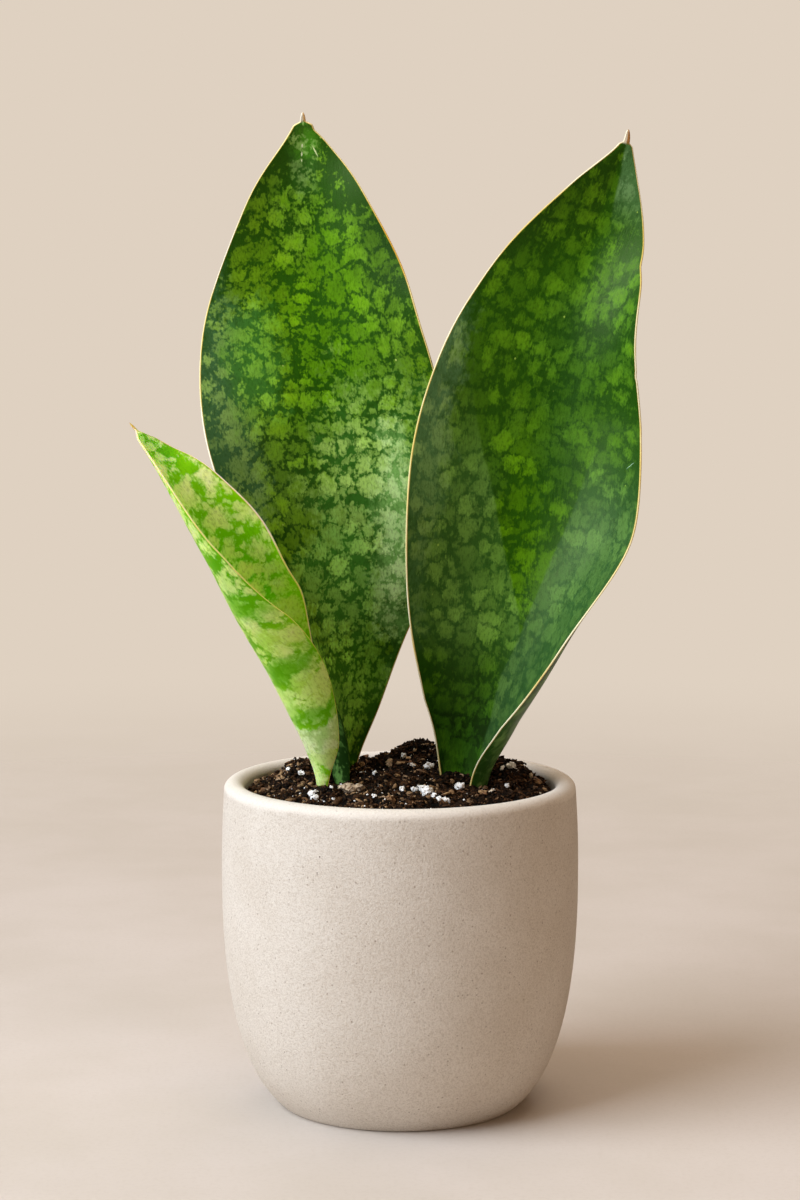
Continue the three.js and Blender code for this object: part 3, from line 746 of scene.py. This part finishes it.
def blade_shape(leaf):
    """Every row of the blade, as rings of points, with each point's place on the leaf."""
    body_t = np.linspace(0, TIP_FROM, BODY_ROWS, endpoint=False)
    t = np.concatenate([body_t, np.linspace(TIP_FROM, 1, TIP_ROWS)])
    stations = leaf["stations"]
    middle = spine(leaf, t)
    z = middle[:, 2]
    top = stations[-1].z
    half = np.maximum(through([s.half for s in stations], t), NARROWEST)
    horn = leaf["horn"]
    to_tip = np.maximum(top - z, 0)
    blunt = np.sqrt(np.clip((to_tip - horn["length"]) / horn["shoulder"], 0, 1))
    half = np.maximum(half * blunt, horn["half"] * np.sqrt(np.clip(to_tip / horn["length"], 0.02, 1)))
    faces = np.radians(through([s.faces for s in stations], t))
    rise = unit(spine(leaf, np.minimum(t + 0.01, 1)) - spine(leaf, np.maximum(t - 0.01, 0)))
    looks = np.stack([np.cos(faces), np.sin(faces), 0 * faces], axis=-1)
    inward = unit(looks - rise * np.sum(looks * rise, axis=-1, keepdims=True))
    across = np.cross(rise, inward)
    along = np.concatenate([[0], np.cumsum(np.linalg.norm(np.diff(middle, axis=0), axis=1))])

    even = np.linspace(-1, 1, COLUMNS + 1)
    u = (0.45 * even + 0.55 * np.sin(even * math.pi / 2))[None, :]
    foot_z = stations[2].z
    share = np.clip((z - foot_z) / (top - foot_z), 0, 1)
    strength = np.sin(math.pi * share) ** 0.5
    bends, halves, lifts = [], [], []
    for side, wave in enumerate(leaf["waves"]):
        swing = strength * np.cos(2 * math.pi * (z - wave["crest"]) / wave["length"])
        wide = half + wave["size"] * swing * np.minimum(half / 0.010, 1)
        for nick in leaf["nicks"]:
            if nick["side"] == side:
                wide = wide - nick["depth"] * np.exp(-(np.abs(z - nick["z"]) / nick["length"]) ** 1.5)
        curl = np.radians(through([s.curl[side] for s in stations], t))
        bends.append(curl / wide)
        halves.append(wide)
        lifts.append(wave["lift"] * swing * np.minimum(half / 0.020, 1))
    bend, wide, lift = (
        np.where(u >= 0, right[:, None], left[:, None]) for left, right in (bends, halves, lifts)
    )
    aside = u * wide
    angle = bend * u * wide
    crease = leaf["crease"]
    fold = np.exp(-to_tip / crease["length"])[:, None] * crease["height"]
    lift = lift * np.abs(u) ** 3 + fold * (np.sqrt((aside / FOLD_WIDTH) ** 2 + 0.04) - 0.2)

    cosine, sine = np.cos(angle)[..., None], np.sin(angle)[..., None]
    normal = inward[:, None, :] * cosine - across[:, None, :] * sine
    outward = across[:, None, :] * cosine + inward[:, None, :] * sine
    back = middle[:, None, :] + across[:, None, :] * sine / bend[..., None]
    back = back + inward[:, None, :] * (1 - cosine) / bend[..., None]
    own = leaf["foot_thickness"] * 900
    dents = np.array([
        [noise.noise(Vector((a / DENT_WIDTH, s / DENT_LENGTH, own))) for a in row]
        for row, s in zip(aside, along)
    ])
    calm = np.minimum(wide / 0.015, 1) * np.minimum(to_tip / 0.02, 1)[:, None]
    back = back + normal * (lift + DENT_DEPTH * dents * calm)[..., None]
    thickest = leaf["foot_thickness"] + (leaf["tip_thickness"] - leaf["foot_thickness"]) * t ** 0.8
    widest = np.minimum(thickest, 0.5 / np.maximum(bends[0], bends[1]))
    rim_thickness = np.minimum(MARGIN_THICKNESS, 1.4 * half)[:, None]
    bulge = np.maximum(widest - MARGIN_THICKNESS, 0)[:, None] * (1 - np.abs(u) ** 2.5)
    bulge = bulge * np.minimum(half / 0.004, 1)[:, None]
    front = back + normal * (rim_thickness + bulge)[..., None]

    def edge(column, sign):
        """The rounded edge between the front and the back."""
        centre = (front[:, column] + back[:, column]) / 2
        points = []
        for k in range(EDGE_STEPS):
            turn = math.pi * (k + 1) / (EDGE_STEPS + 1)
            rise_by = sign * math.cos(turn) * rim_thickness / 2
            out_by = sign * math.sin(turn) * 0.4 * rim_thickness
            points.append(centre + normal[:, column] * rise_by + outward[:, column] * out_by)
        return np.stack(points, axis=1)

    def ring(on_front, on_right, on_back, on_left):
        """What each point of a row's ring has, from the front over the right edge to the back."""
        return np.concatenate([on_front, on_right, on_back[:, ::-1], on_left], axis=1)

    rings = ring(front, edge(-1, 1), back, edge(0, -1))
    rows = len(t)
    arc = np.tile(MARGIN_ROUND * np.abs(np.linspace(-1, 1, EDGE_STEPS + 2))[1:-1], (rows, 1))
    half_behind = np.full((rows, EDGE_STEPS), 0.5)
    face_rim = (1 - np.abs(u)) * wide + MARGIN_ROUND
    right, left = (np.repeat(aside[:, c:c + 1], EDGE_STEPS, axis=1) for c in (COLUMNS, 0))
    rim = ring(face_rim, arc, face_rim, arc)
    sideways = ring(aside, right, aside, left)
    behind = ring(0 * aside, half_behind, 0 * aside + 1, half_behind)
    upward = along[:, None] + 0 * rim
    below_tip = to_tip[:, None] + 0 * rim
    return rings, np.stack([sideways, upward, behind], axis=-1), np.stack([rim, below_tip, 0 * rim], axis=-1)


def blade(name, leaf, finish):
    """The whole blade as one closed mesh that knows, at each point, its place on the leaf."""
    rings, places, margins = blade_shape(leaf)
    rows, around = rings.shape[:2]

    def with_ends(values):
        """The values of all points, and after them those of the middle of each end."""
        return np.concatenate([values.reshape(-1, 3), [values[0].mean(axis=0), values[-1].mean(axis=0)]])

    sides = [(k, (k + 1) % around) for k in range(around)]
    foot, tip, last = rows * around, rows * around + 1, (rows - 1) * around
    faces = [
        (low + a, low + b, low + around + b, low + around + a)
        for low in range(0, last, around) for a, b in sides
    ]
    faces += [(foot, b, a) for a, b in sides]
    faces += [(tip, last + a, last + b) for a, b in sides]
    piece = new_piece(name, with_ends(rings), faces)
    shell = bmesh.new()
    shell.from_mesh(piece.data)
    bmesh.ops.recalc_face_normals(shell, faces=shell.faces)
    shell.to_mesh(piece.data)
    shell.free()
    smoothed(piece, finish)
    for label, values in (("leaf_place", places), ("leaf_margin", margins)):
        layer = piece.data.attributes.new(label, "FLOAT_VECTOR", "POINT")
        layer.data.foreach_set("vector", with_ends(values).ravel())
    return piece


def mottling_group():
    """Ragged blotches with dark gaps between them, in rough bands across the leaf."""
    tree, take, made = new_tree(
        "leaf_mottling", "ShaderNodeTree",
        {"Place": "Vector", "Blotch Width": "Float", "Blotch Length": "Float", "Reach": "Float",
         "Banding": "Float", "Raggedness": "Float", "Streaking": "Float", "Softness": "Float",
         "Seed": "Float"},
        {"Blotch": "Float", "Small Blotch": "Float", "Tone": "Float", "Depth": "Float"},
    )
    x, y, behind = split(take["Place"])
    own = calc("MULTIPLY_ADD", behind, 3.7, take["Seed"])
    flat = join(x, y, own)

    def swing(scale, detail=2.0, roughness=0.55):
        """Noise about nought, on its own scale across and along the leaf."""
        value, colour = grain(shift("MULTIPLY", flat, (*scale, 1)), 1.0, detail, roughness)
        return minus(value, 0.5), shift("SUBTRACT", colour, (0.5, 0.5, 0.5))

    wander = shift("MULTIPLY", swing((32, 32))[1], (0.014, 0.014, 0))
    lobes = shift("MULTIPLY", swing((340, 300))[1], (0.0050, 0.0050, 0))
    x, y, _ = split(shift("ADD", shift("ADD", flat, wander), lobes))
    ragged = times(swing((700, 560), 2, 0.5)[0], take["Raggedness"])
    ragged = plus(ragged, times(swing((2300, 230))[0], take["Streaking"]))
    patch = times(swing((34, 34))[0], 0.4)
    band = times(swing((13, 95))[0], take["Banding"])
    rough = plus(ragged, plus(patch, band))
    joining = calc("MULTIPLY_ADD", swing((70, 90))[0], 0.50, -0.10)
    joining = calc("MULTIPLY_ADD", band, 0.35, plus(joining, times(ragged, 0.55)))
    depths, tones = [], []
    for size, less_reach, offset in ((1.0, 0.0, 0.0), (0.45, 0.14, 11.3)):
        wide = calc("DIVIDE", x, times(take["Blotch Width"], size))
        long = calc("DIVIDE", y, times(take["Blotch Length"], size))
        wide = plus(calc("MULTIPLY_ADD", own, 7.3, offset), wide)
        long = plus(calc("MULTIPLY_ADD", own, 3.1, offset), long)
        lattice = {"Vector": join(wide, long), "Scale": 1.0, "Randomness": 0.85}
        nearest, seams = (
            add(tree, "ShaderNodeTexVoronoi", lattice, voronoi_dimensions="2D", feature=feature).outputs
            for feature in ("F1", "DISTANCE_TO_EDGE")
        )
        picks = split_colour(nearest["Color"])
        reach = plus(take["Reach"], calc("MULTIPLY_ADD", picks[0], 0.3, -0.15 - less_reach))
        body_depth = minus(plus(reach, rough), nearest["Distance"])
        seam_depth = times(plus(seams["Distance"], joining), 1.6)
        depths.append(calc("MINIMUM", body_depth, seam_depth))
        tones.append(picks[1])
    soft = take["Softness"]
    hard = times(soft, -1)
    feed(made["Blotch"], ramp(depths[0], hard, soft))
    feed(made["Small Blotch"], ramp(depths[1], hard, soft))
    feed(made["Tone"], tones[0])
    feed(made["Depth"], depths[0])
    return tree


mottling = mottling_group()


def leaf_finish(name, looks):
    """A leaf's waxy skin: ground, blotches, fibres, patches of painted light, sheen and shade (on the young
    leaf also of its own bands), painted light and shade on the back of the foot, cream margin and dried
    point.
    """
    finish, tree, shader = new_finish(name)
    place, margin = (
        add(tree, "ShaderNodeAttribute", attribute_name=label).outputs["Vector"]
        for label in ("leaf_place", "leaf_margin")
    )
    aside, upward, behind = split(place)
    rim, below_tip, _ = split(margin)
    flat = shift("ADD", place, (0, 0, looks["seed"]))

    def fibrous(wide, long, detail=3, roughness=0.55):
        """Noise on its own scale across and along the leaf."""
        return grain(shift("MULTIPLY", flat, (wide, long, 1)), 1.0, detail, roughness)[0]

    bare = plus(ramp(rim, 0, looks["bare_edge"], 0.3, 0), ramp(below_tip, 0.004, 0.060, looks["bare_tip"], 0))
    mottle = add(tree, "ShaderNodeGroup", node_tree=mottling)
    reach = minus(looks["blotch"]["Reach"], bare)
    for socket, value in {**looks["blotch"], "Seed": looks["seed"], "Place": place, "Reach": reach}.items():
        feed(mottle.inputs[socket], value)
    blotch, small_blotch, tone, depth = mottle.outputs
    fine = fibrous(1100, 520, 3, 0.65)
    cloud = fibrous(70, 55)
    region = ramp(fibrous(22, 14, 2), 0.38, 0.62)
    ground = tint(region, *looks["ground"])
    paler = tint(region, *looks["pale"])
    paler = tint(times(ramp(depth, 0.05, 0.4, 0, 0.55), tone), paler, looks["heart"])
    ragged = times(minus(cloud, 0.5), 1.6)
    ragged = calc("MULTIPLY_ADD", minus(fibrous(420, 330, 3, 0.6), 0.5), 1.1, ragged)
    on_face = ramp(behind, 0.2, 0.8, 1, looks["light_and_pattern_patches_behind"])
    # Patches of painted light, painted sheen and painted shade, and on the young leaf also its own darker
    # bands and paler patches.
    for glow in looks["light_and_pattern_patches"]:
        away = shift("SUBTRACT", place, (glow.across, glow.along, 0))
        away = length(shift("MULTIPLY", away, (1 / glow.reach[0], 1 / glow.reach[1], 0)))
        near = times(ramp(plus(away, ragged), glow.starts, 1.15, glow.share, 0), on_face)
        ground = tint(near, ground, glow.ground)
        paler = tint(near, paler, glow.pale)
    # Painted sheen: each sheet tints the ground and the blotches on one side of a slanted edge, fading out
    # above and below.
    for painted_sheen in looks["painted_sheens"]:
        edge = calc("MULTIPLY_ADD", minus(upward, painted_sheen["along"]), painted_sheen["slope"], painted_sheen["across"])
        edge = calc("MAXIMUM", edge, painted_sheen["least"])
        past = times(minus(aside, edge), painted_sheen["side"])
        past = calc("MULTIPLY_ADD", ragged, 0.0012, past)
        cover = times(ramp(past, -0.0006, 0.0010, 0, painted_sheen["share"]), on_face)
        cover = times(cover, ramp(upward, *painted_sheen["top"], 1, 0))
        cover = times(cover, ramp(upward, *painted_sheen["bottom"], 0, 1))
        ground = tint(cover, ground, painted_sheen["ground"])
        paler = tint(cover, paler, painted_sheen["pale"])
    # Painted light and shade on the back of the foot: painted shade on the tall left leaf, painted light on
    # the other two.
    back_foot_light_shade_mask = times(behind, ramp(upward, 0.045, 0.085, looks["back_foot_light_shade_share"], 0))
    ground = tint(back_foot_light_shade_mask, ground, looks["back_foot_light_shade"][0])
    paler = tint(back_foot_light_shade_mask, paler, looks["back_foot_light_shade"][1])
    faintest = looks["faintest"]
    mask = calc("MAXIMUM", times(blotch, ramp(tone, 0, 1, faintest, 1)), times(small_blotch, faintest))
    mask = times(mask, ramp(fine, 0.25, 0.62, 0.65 + faintest / 3, 1.0))
    mask = times(mask, ramp(cloud, 0.3, 0.6, 0.4 + faintest / 2, 1.0))
    skin = tint(mask, ground, paler)
    skin = tint(ramp(fine, 0.3, 0.55, 0.35, 0), skin, looks["grain"])
    speck = specks(shift("MULTIPLY", flat, (260, 200, 1)), 1.0, 0, 0.93, 0.13, 0.06)
    skin = tint(times(speck, 0.7), skin, looks["speck"])
    for scar in looks["scars"]:
        x, y, z = split(shift("SUBTRACT", place, (scar["across"], scar["along"], 0)))
        x = calc("MULTIPLY_ADD", y, -scar["slant"], x)
        x = calc("MULTIPLY_ADD", minus(fine, 0.5), 0.0006, x)
        away = length(shift("MULTIPLY", join(x, y, z), (1 / scar["half"][0], 1 / scar["half"][1], 4)))
        skin = tint(ramp(away, 0.5, 1.0, 0.85, 0), skin, scar["hue"])
    wavy, slow = fibrous(0, 130), fibrous(0, 22, 2)
    rightward = calc("GREATER_THAN", aside, 0.0)
    past = minus(rim, calc("MULTIPLY_ADD", wavy, 0.0003, looks["margin_width"] - 0.00015))
    starts = looks["left_margin_from"]
    shown = calc("MAXIMUM", rightward, ramp(upward, starts, starts + 0.02))
    line = tint(ramp(slow, 0.4, 0.6), *looks["margin_line"])
    skin = tint(times(shown, ramp(past, 0.00005, 0.00035, 0.85, 0)), skin, line)
    cream = tint(rightward, *[tint(ramp(slow, 0.42, 0.58), *pair) for pair in looks["cream"]])
    skin = tint(times(shown, ramp(past, -0.0001, 0.0001, 1, 0)), skin, cream)
    dry_length = looks["dry_length"]
    dry = ramp(minus(below_tip, times(wavy, 0.002)), dry_length - 0.0020, dry_length - 0.0006, 1, 0)
    skin = tint(dry, skin, tint(ramp(aside, -0.0004, 0.0004), *looks["dried"]))
    gloss = ramp(fine, 0.3, 0.7, looks["roughness"] - 0.04, looks["roughness"] + 0.08)
    relief = plus(fibrous(2200, 90, 2), times(fibrous(1500, 1500, 2), 0.6))
    coat(shader, skin, gloss, relief, 0.3, 0.0002)
    for socket, value in (
        ("Specular IOR Level", looks["shine"]),
        ("Specular Tint", (0.85, 1.0, 0.45, 1.0)),
        ("Subsurface Weight", looks["glow_through"]),
        ("Subsurface Radius", (0.5, 1.0, 0.15)),
        ("Subsurface Scale", looks["glow_reach"]),
    ):
        shader.inputs[socket].default_value = value
    return finish


def plant(name, leaf, looks, node):
    """Grows a leaf in the place of its node."""
    piece = blade(name, leaf, leaf_finish(f"{name}_skin", looks))
    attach(piece, body)
    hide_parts(node)


# What the two mature leaves have in common.
MATURE = dict(
    light_and_pattern_patches_behind=0.3, bare_tip=0.14, margin_width=0.00036, shine=0.18, glow_through=0.0, glow_reach=0.005,
)
tall_left_looks = dict(
    **MATURE,
    seed=3.1,
    ground=("1f4606", "234e04"),
    pale=("6c9a26", "729f10"),
    heart="84b414",
    grain="163404",
    speck="c2d46a",
    back_foot_light_shade=("0e2408", "4c6e38"),
    back_foot_light_shade_share=0.9,
    faintest=0.55,
    bare_edge=0.009,
    blotch={"Blotch Width": 0.0098, "Blotch Length": 0.0086, "Reach": 0.46, "Banding": 0.8,
            "Raggedness": 1.05, "Streaking": 0.25, "Softness": 0.15},
    # Painted light: a lit middle, painted sheen on the lower right, the left edge, the right edge and the
    # tip, painted light over the shaded foot and lower half, and painted shade on the upper right.
    light_and_pattern_patches=(
        LightAndPatternPatch(0.008, 0.215, (0.030, 0.085), "1f4e00", "6aa400", 0.9),
        LightAndPatternPatch(0.022, 0.148, (0.036, 0.055), "33681c", "bce070", 0.9),
        LightAndPatternPatch(0.004, 0.070, (0.040, 0.045), "3c7c0a", "b4fc58", 0.9),
        LightAndPatternPatch(-0.001, 0.294, (0.008, 0.022), "305c1c", "9cbc74", 0.6),
        LightAndPatternPatch(0.001, 0.298, (0.008, 0.010), "4c8c18", "a8d470", 0.8),
        LightAndPatternPatch(0.036, 0.255, (0.018, 0.050), "143a06", "47700c", 0.85),
        LightAndPatternPatch(-0.045, 0.180, (0.020, 0.085), "446e44", "9cc06a", 0.7),
        LightAndPatternPatch(0.006, 0.112, (0.032, 0.034), "3f7c22", "aee868", 0.8),
        LightAndPatternPatch(-0.028, 0.205, (0.016, 0.030), "3c7424", "94d040", 0.8),
        LightAndPatternPatch(0.028, 0.128, (0.011, 0.054), "7cac54", "e0f8a8", 0.95),
    ),
    left_margin_from=0.070,
    margin_line=("b98a1c", "d8b640"),
    cream=(("f4efd2", "eadb96"), ("e3b24a", "efdfa0")),
    dried=("f3ead6", "d0a468"),
    dry_length=0.0034,
    painted_sheens=(),
    scars=(
        dict(across=-0.0011, along=0.2964, slant=0.1, half=(0.0004, 0.0011), hue="e6ebc0"),
        dict(across=-0.0015, along=0.2928, slant=0.1, half=(0.0004, 0.0013), hue="dfe8b4"),
        dict(across=-0.0017, along=0.2900, slant=0.0, half=(0.0003, 0.0007), hue="dfe8b4"),
        dict(across=0.0046, along=0.2937, slant=-0.42, half=(0.0004, 0.0031), hue="d8e0a0"),
    ),
    roughness=0.38,
)
plant("tall_left_blade", tall_left, tall_left_looks, "tall_left_leaf")

# The tall right leaf. It leans to the right and its right half curls forward, so the channel at its
# foot is deep. It is darker, with a lower contrast between its ground and its blotches.

tall_right = dict(
    foot_thickness=0.0046,
    tip_thickness=0.0018,
    waves=(
        dict(size=0.0004, lift=0.0008, length=0.066, crest=0.298),
        dict(size=0.0009, lift=0.0014, length=0.068, crest=0.340),
    ),
    stations=(
        Station(0.105, 0.0330, 0.0020, 0.0140, (110, 110), 215),
        Station(0.137, 0.0350, 0.0035, 0.0215, (105, 105), 215),
        Station(0.165, 0.0415, 0.0020, 0.0360, (90, 100), 230),
        Station(0.200, 0.0475, 0.0000, 0.0485, (70, 90), 250),
        Station(0.245, 0.0525, 0.0010, 0.0555, (50, 65), 265),
        Station(0.290, 0.0580, 0.0030, 0.0505, (35, 55), 265),
        Station(0.335, 0.0695, 0.0000, 0.0380, (25, 55), 260),
        Station(0.375, 0.0830, 0.0005, 0.0190, (20, 35), 275),
        Station(0.398, 0.0915, 0.0000, 0.0040, (25, 25), 280),
        Station(0.4058, 0.0932, -0.0010, 0.0010, (20, 20), 270),
    ),
    horn=dict(length=0.0048, half=0.0013, shoulder=0.0015),
    crease=dict(height=0.0020, length=0.035),
    nicks=(dict(z=0.357, side=1, depth=0.0013, length=0.0050),
           dict(z=0.3165, side=1, depth=0.0006, length=0.0012)),
)
tall_right_looks = dict(
    **MATURE,
    seed=8.4,
    ground=("1d4408", "204a04"),
    pale=("4a781a", "50800c"),
    heart="649412",
    grain="143203",
    speck="9dbb4a",
    back_foot_light_shade=("3a6c24", "8cb46a"),
    back_foot_light_shade_share=0.7,
    faintest=0.42,
    bare_edge=0.007,
    blotch={"Blotch Width": 0.0092, "Blotch Length": 0.0094, "Reach": 0.47, "Banding": 0.9,
            "Raggedness": 0.75, "Streaking": 0.50, "Softness": 0.16},
    # Painted light in the middle, painted sheen along the left edge, a darker patch right of the middle, and
    # painted shade over the foot.
    light_and_pattern_patches=(
        LightAndPatternPatch(-0.004, 0.120, (0.016, 0.080), "204c00", "649800", 0.9),
        LightAndPatternPatch(-0.050, 0.175, (0.014, 0.090), "5c8454", "a0c078", 0.75),
        LightAndPatternPatch(0.014, 0.195, (0.022, 0.050), "143e04", "3a680c", 0.75),
        LightAndPatternPatch(0.0, 0.045, (0.060, 0.040), "0a2404", "2c5c10", 0.8),
    ),
    left_margin_from=-1.0,
    margin_line=("b98a1c", "d8ba4c"),
    cream=(("efe6c0", "e0c672"), ("f1e9c4", "e4c878")),
    dried=("efe2c6", "a06c38"),
    dry_length=0.0058,
    # Painted sheen: a milky sheet on the lower left, a greyer one on the lower right, and one on the right
    # near the tip.
    painted_sheens=(
        dict(across=0.0060, along=0.0917, slope=-0.36, least=-1.0, side=-1, share=0.55,
             bottom=(0.070, 0.100), top=(0.150, 0.205), ground="376024", pale="82aa50"),
        dict(across=0.0000, along=0.0805, slope=0.294, least=-0.0010, side=1, share=0.85,
             bottom=(0.030, 0.055), top=(0.140, 0.185), ground="305428", pale="587c3c"),
        dict(across=0.0000, along=0.3018, slope=-0.17, least=-0.0010, side=1, share=0.75,
             bottom=(0.266, 0.290), top=(0.310, 0.320), ground="4d7440", pale="86a874"),
    ),
    scars=(dict(across=0.0478, along=0.1700, slant=1.2, half=(0.0003, 0.0022), hue="9dc0a0"),),
    roughness=0.40,
)
plant("tall_right_blade", tall_right, tall_right_looks, "tall_right_leaf")

# The young leaf. It is small, fresh and boat-shaped, leans to the left with its channel towards the
# right, and its blotches are larger and much paler than the older leaves'.

young = dict(
    foot_thickness=0.0024,
    tip_thickness=0.0016,
    waves=(
        dict(size=0.0005, lift=0.0006, length=0.060, crest=0.270),
        dict(size=0.0012, lift=0.0020, length=0.040, crest=0.224),
    ),
    stations=(
        Station(0.112, -0.0330, -0.0220, 0.0040, (60, 60), 25),
        Station(0.138, -0.0340, -0.0240, 0.0055, (80, 85), 20),
        Station(0.153, -0.0385, -0.0250, 0.0175, (100, 105), 20),
        Station(0.179, -0.0500, -0.0335, 0.0290, (130, 115), 15),
        Station(0.209, -0.0645, -0.0425, 0.0335, (130, 120), -10),
        Station(0.239, -0.0745, -0.0505, 0.0265, (110, 105), -40),
        Station(0.265, -0.0890, -0.0505, 0.0140, (75, 60), -45),
        Station(0.288, -0.1085, -0.0365, 0.0010, (20, 20), -40),
    ),
    horn=dict(length=0.0035, half=0.0006, shoulder=0.004),
    crease=dict(height=0.0, length=0.020),
    nicks=(),
)
young_looks = dict(
    seed=15.7,
    ground=("66a206", "7cba0c"),
    pale=("cdf07c", "d8f496"),
    heart="e2f8b4",
    grain="4a8404",
    speck="e2f0a0",
    back_foot_light_shade=("6aa81c", "d2f094"),
    back_foot_light_shade_share=0.2,
    faintest=0.85,
    light_and_pattern_patches_behind=1.0,
    bare_edge=0.002,
    bare_tip=0.02,
    blotch={"Blotch Width": 0.0145, "Blotch Length": 0.0125, "Reach": 0.49, "Banding": 0.5,
            "Raggedness": 0.65, "Streaking": 0.12, "Softness": 0.15},
    # The first four are painted light where the leaf lies in shade; the rest are the leaf's own darker bands
    # and paler patches low down.
    light_and_pattern_patches=(
        LightAndPatternPatch(0.013, 0.138, (0.016, 0.050), "7cc004", "e2ff90", 0.85),
        LightAndPatternPatch(0.004, 0.186, (0.014, 0.018), "4c8c04", "bcdc80", 0.85),
        LightAndPatternPatch(-0.026, 0.128, (0.014, 0.034), "488a04", "cdec8c", 0.7),
        LightAndPatternPatch(0.030, 0.110, (0.012, 0.060), "86c40e", "bce24c", 0.7),
        LightAndPatternPatch(-0.020, 0.1165, (0.022, 0.0070), "5a9a04", "6cac10", 0.9),
        LightAndPatternPatch(-0.012, 0.0825, (0.026, 0.0085), "5a9a04", "66a60c", 0.95),
        LightAndPatternPatch(-0.012, 0.0590, (0.022, 0.0070), "5a9a04", "66a60c", 0.95),
        LightAndPatternPatch(-0.023, 0.0985, (0.0105, 0.0085), "b2de5c", "c6ee7c", 0.95, starts=0.7),
        LightAndPatternPatch(-0.020, 0.0705, (0.0070, 0.0085), "b2de5c", "c6ee7c", 0.95, starts=0.7),
        LightAndPatternPatch(-0.004, 0.0665, (0.0070, 0.0080), "aed868", "c2e67c", 0.95, starts=0.7),
        LightAndPatternPatch(0.0, 0.0475, (0.050, 0.0068), "c0dc90", "d8f0b0", 0.95, starts=0.75),
    ),
    margin_width=0.00026,
    left_margin_from=-1.0,
    margin_line=("dcc050", "e6dc80"),
    # The right margin's cream is lighter than the left's as painted light, where its edge faces away from the
    # lamp.
    cream=(("e6e09c", "dcd480"), ("fff8c4", "f4e68c")),
    dried=("b98a50", "94622c"),
    dry_length=0.0030,
    painted_sheens=(),
    scars=(),
    roughness=0.36,
    shine=0.04,
    glow_through=0.8,
    glow_reach=0.010,
)
plant("young_blade", young, young_looks, "young_leaf")

# The floor, the light and the camera. The plant stands on a plain pale floor in soft light from the
# left, seen from a little above the pot.

FLOOR_HALF = 3.0
FLOOR_FADES_FROM = 0.28
FLOOR_FADES_TO = 1.3
CAMERA_PLACE = (0.0, -1.2, 0.3509)
CAMERA_DOWN = 6.588
CAMERA_LENS = 87.1
SENSOR_WIDTH = 36


def floor_finish():
    """A plain pale floor with faint cloudiness, that fades into the backdrop."""
    finish, tree, shader = new_finish("pale_floor")
    place = own_place(tree)
    fine = grain(place, 420, 3, 0.7)[0]
    shade = tint(ramp(grain(place, 9, 4)[0], 0.3, 0.7), "c6bcb0", "cdc3b9")
    shade = tint(ramp(fine, 0.35, 0.55, 0.12, 0), shade, "a89886")
    feed(shader.inputs["Base Color"], shade)
    feed(shader.inputs["Roughness"], ramp(fine, 0.3, 0.7, 0.65, 0.8))
    feed(shader.inputs["Alpha"], ramp(length(place), FLOOR_FADES_FROM, FLOOR_FADES_TO, 1, 0))
    return finish


corners = [(x * FLOOR_HALF, y * FLOOR_HALF, 0) for x, y in ((-1, -1), (1, -1), (1, 1), (-1, 1))]
floor = new_piece("floor", corners, [(0, 1, 2, 3)])
floor.data.materials.append(floor_finish())


def soft_light(name, place, target_height, size, power, colour):
    """A large soft lamp that looks at the plant's axis at some height."""
    lamp = bpy.data.lights.new(name, "AREA")
    lamp.shape = "SQUARE"
    lamp.size = size
    lamp.energy = power
    lamp.color = colour
    holder = bpy.data.objects.new(name, lamp)
    holder.location = place
    look = Vector((0, 0, target_height)) - Vector(place)
    holder.rotation_euler = look.to_track_quat("-Z", "Y").to_euler()
    bpy.context.scene.collection.objects.link(holder)


soft_light("key_light", (-1.74, -0.92, 1.50), 0.15, 2.0, 105, (0.80, 0.89, 1.0))
soft_light("top_light", (0.1, 0.2, 2.1), 0.1, 1.8, 20, (1.0, 0.84, 0.68))
soft_light("room_light", (1.30, -1.50, 0.80), 0.2, 1.4, 5, (1.0, 0.80, 0.60))
soft_light("back_light", (0.5, 1.6, 1.3), 0.2, 1.0, 4, (1.0, 0.95, 0.9))

world = bpy.data.worlds.new("studio")
bpy.context.scene.world = world
world.use_nodes = True
air = world.node_tree
air.nodes.clear()
seen = add(air, "ShaderNodeBackground", {"Color": "dfd1c1", "Strength": 1.0}).outputs[0]
around = add(air, "ShaderNodeBackground", {"Color": "e2b894", "Strength": 0.215}).outputs[0]
is_seen = add(air, "ShaderNodeLightPath").outputs["Is Camera Ray"]
add(air, "ShaderNodeOutputWorld", {0: answer("ShaderNodeMixShader", is_seen, around, seen)})
bpy.context.scene.view_settings.view_transform = "Standard"

eye = bpy.data.cameras.new("camera")
eye.lens = CAMERA_LENS
eye.sensor_width = SENSOR_WIDTH
camera = bpy.data.objects.new("camera", eye)
camera.location = CAMERA_PLACE
camera.rotation_euler = (math.radians(90 - CAMERA_DOWN), 0, 0)
bpy.context.scene.collection.objects.link(camera)
bpy.context.scene.camera = camera
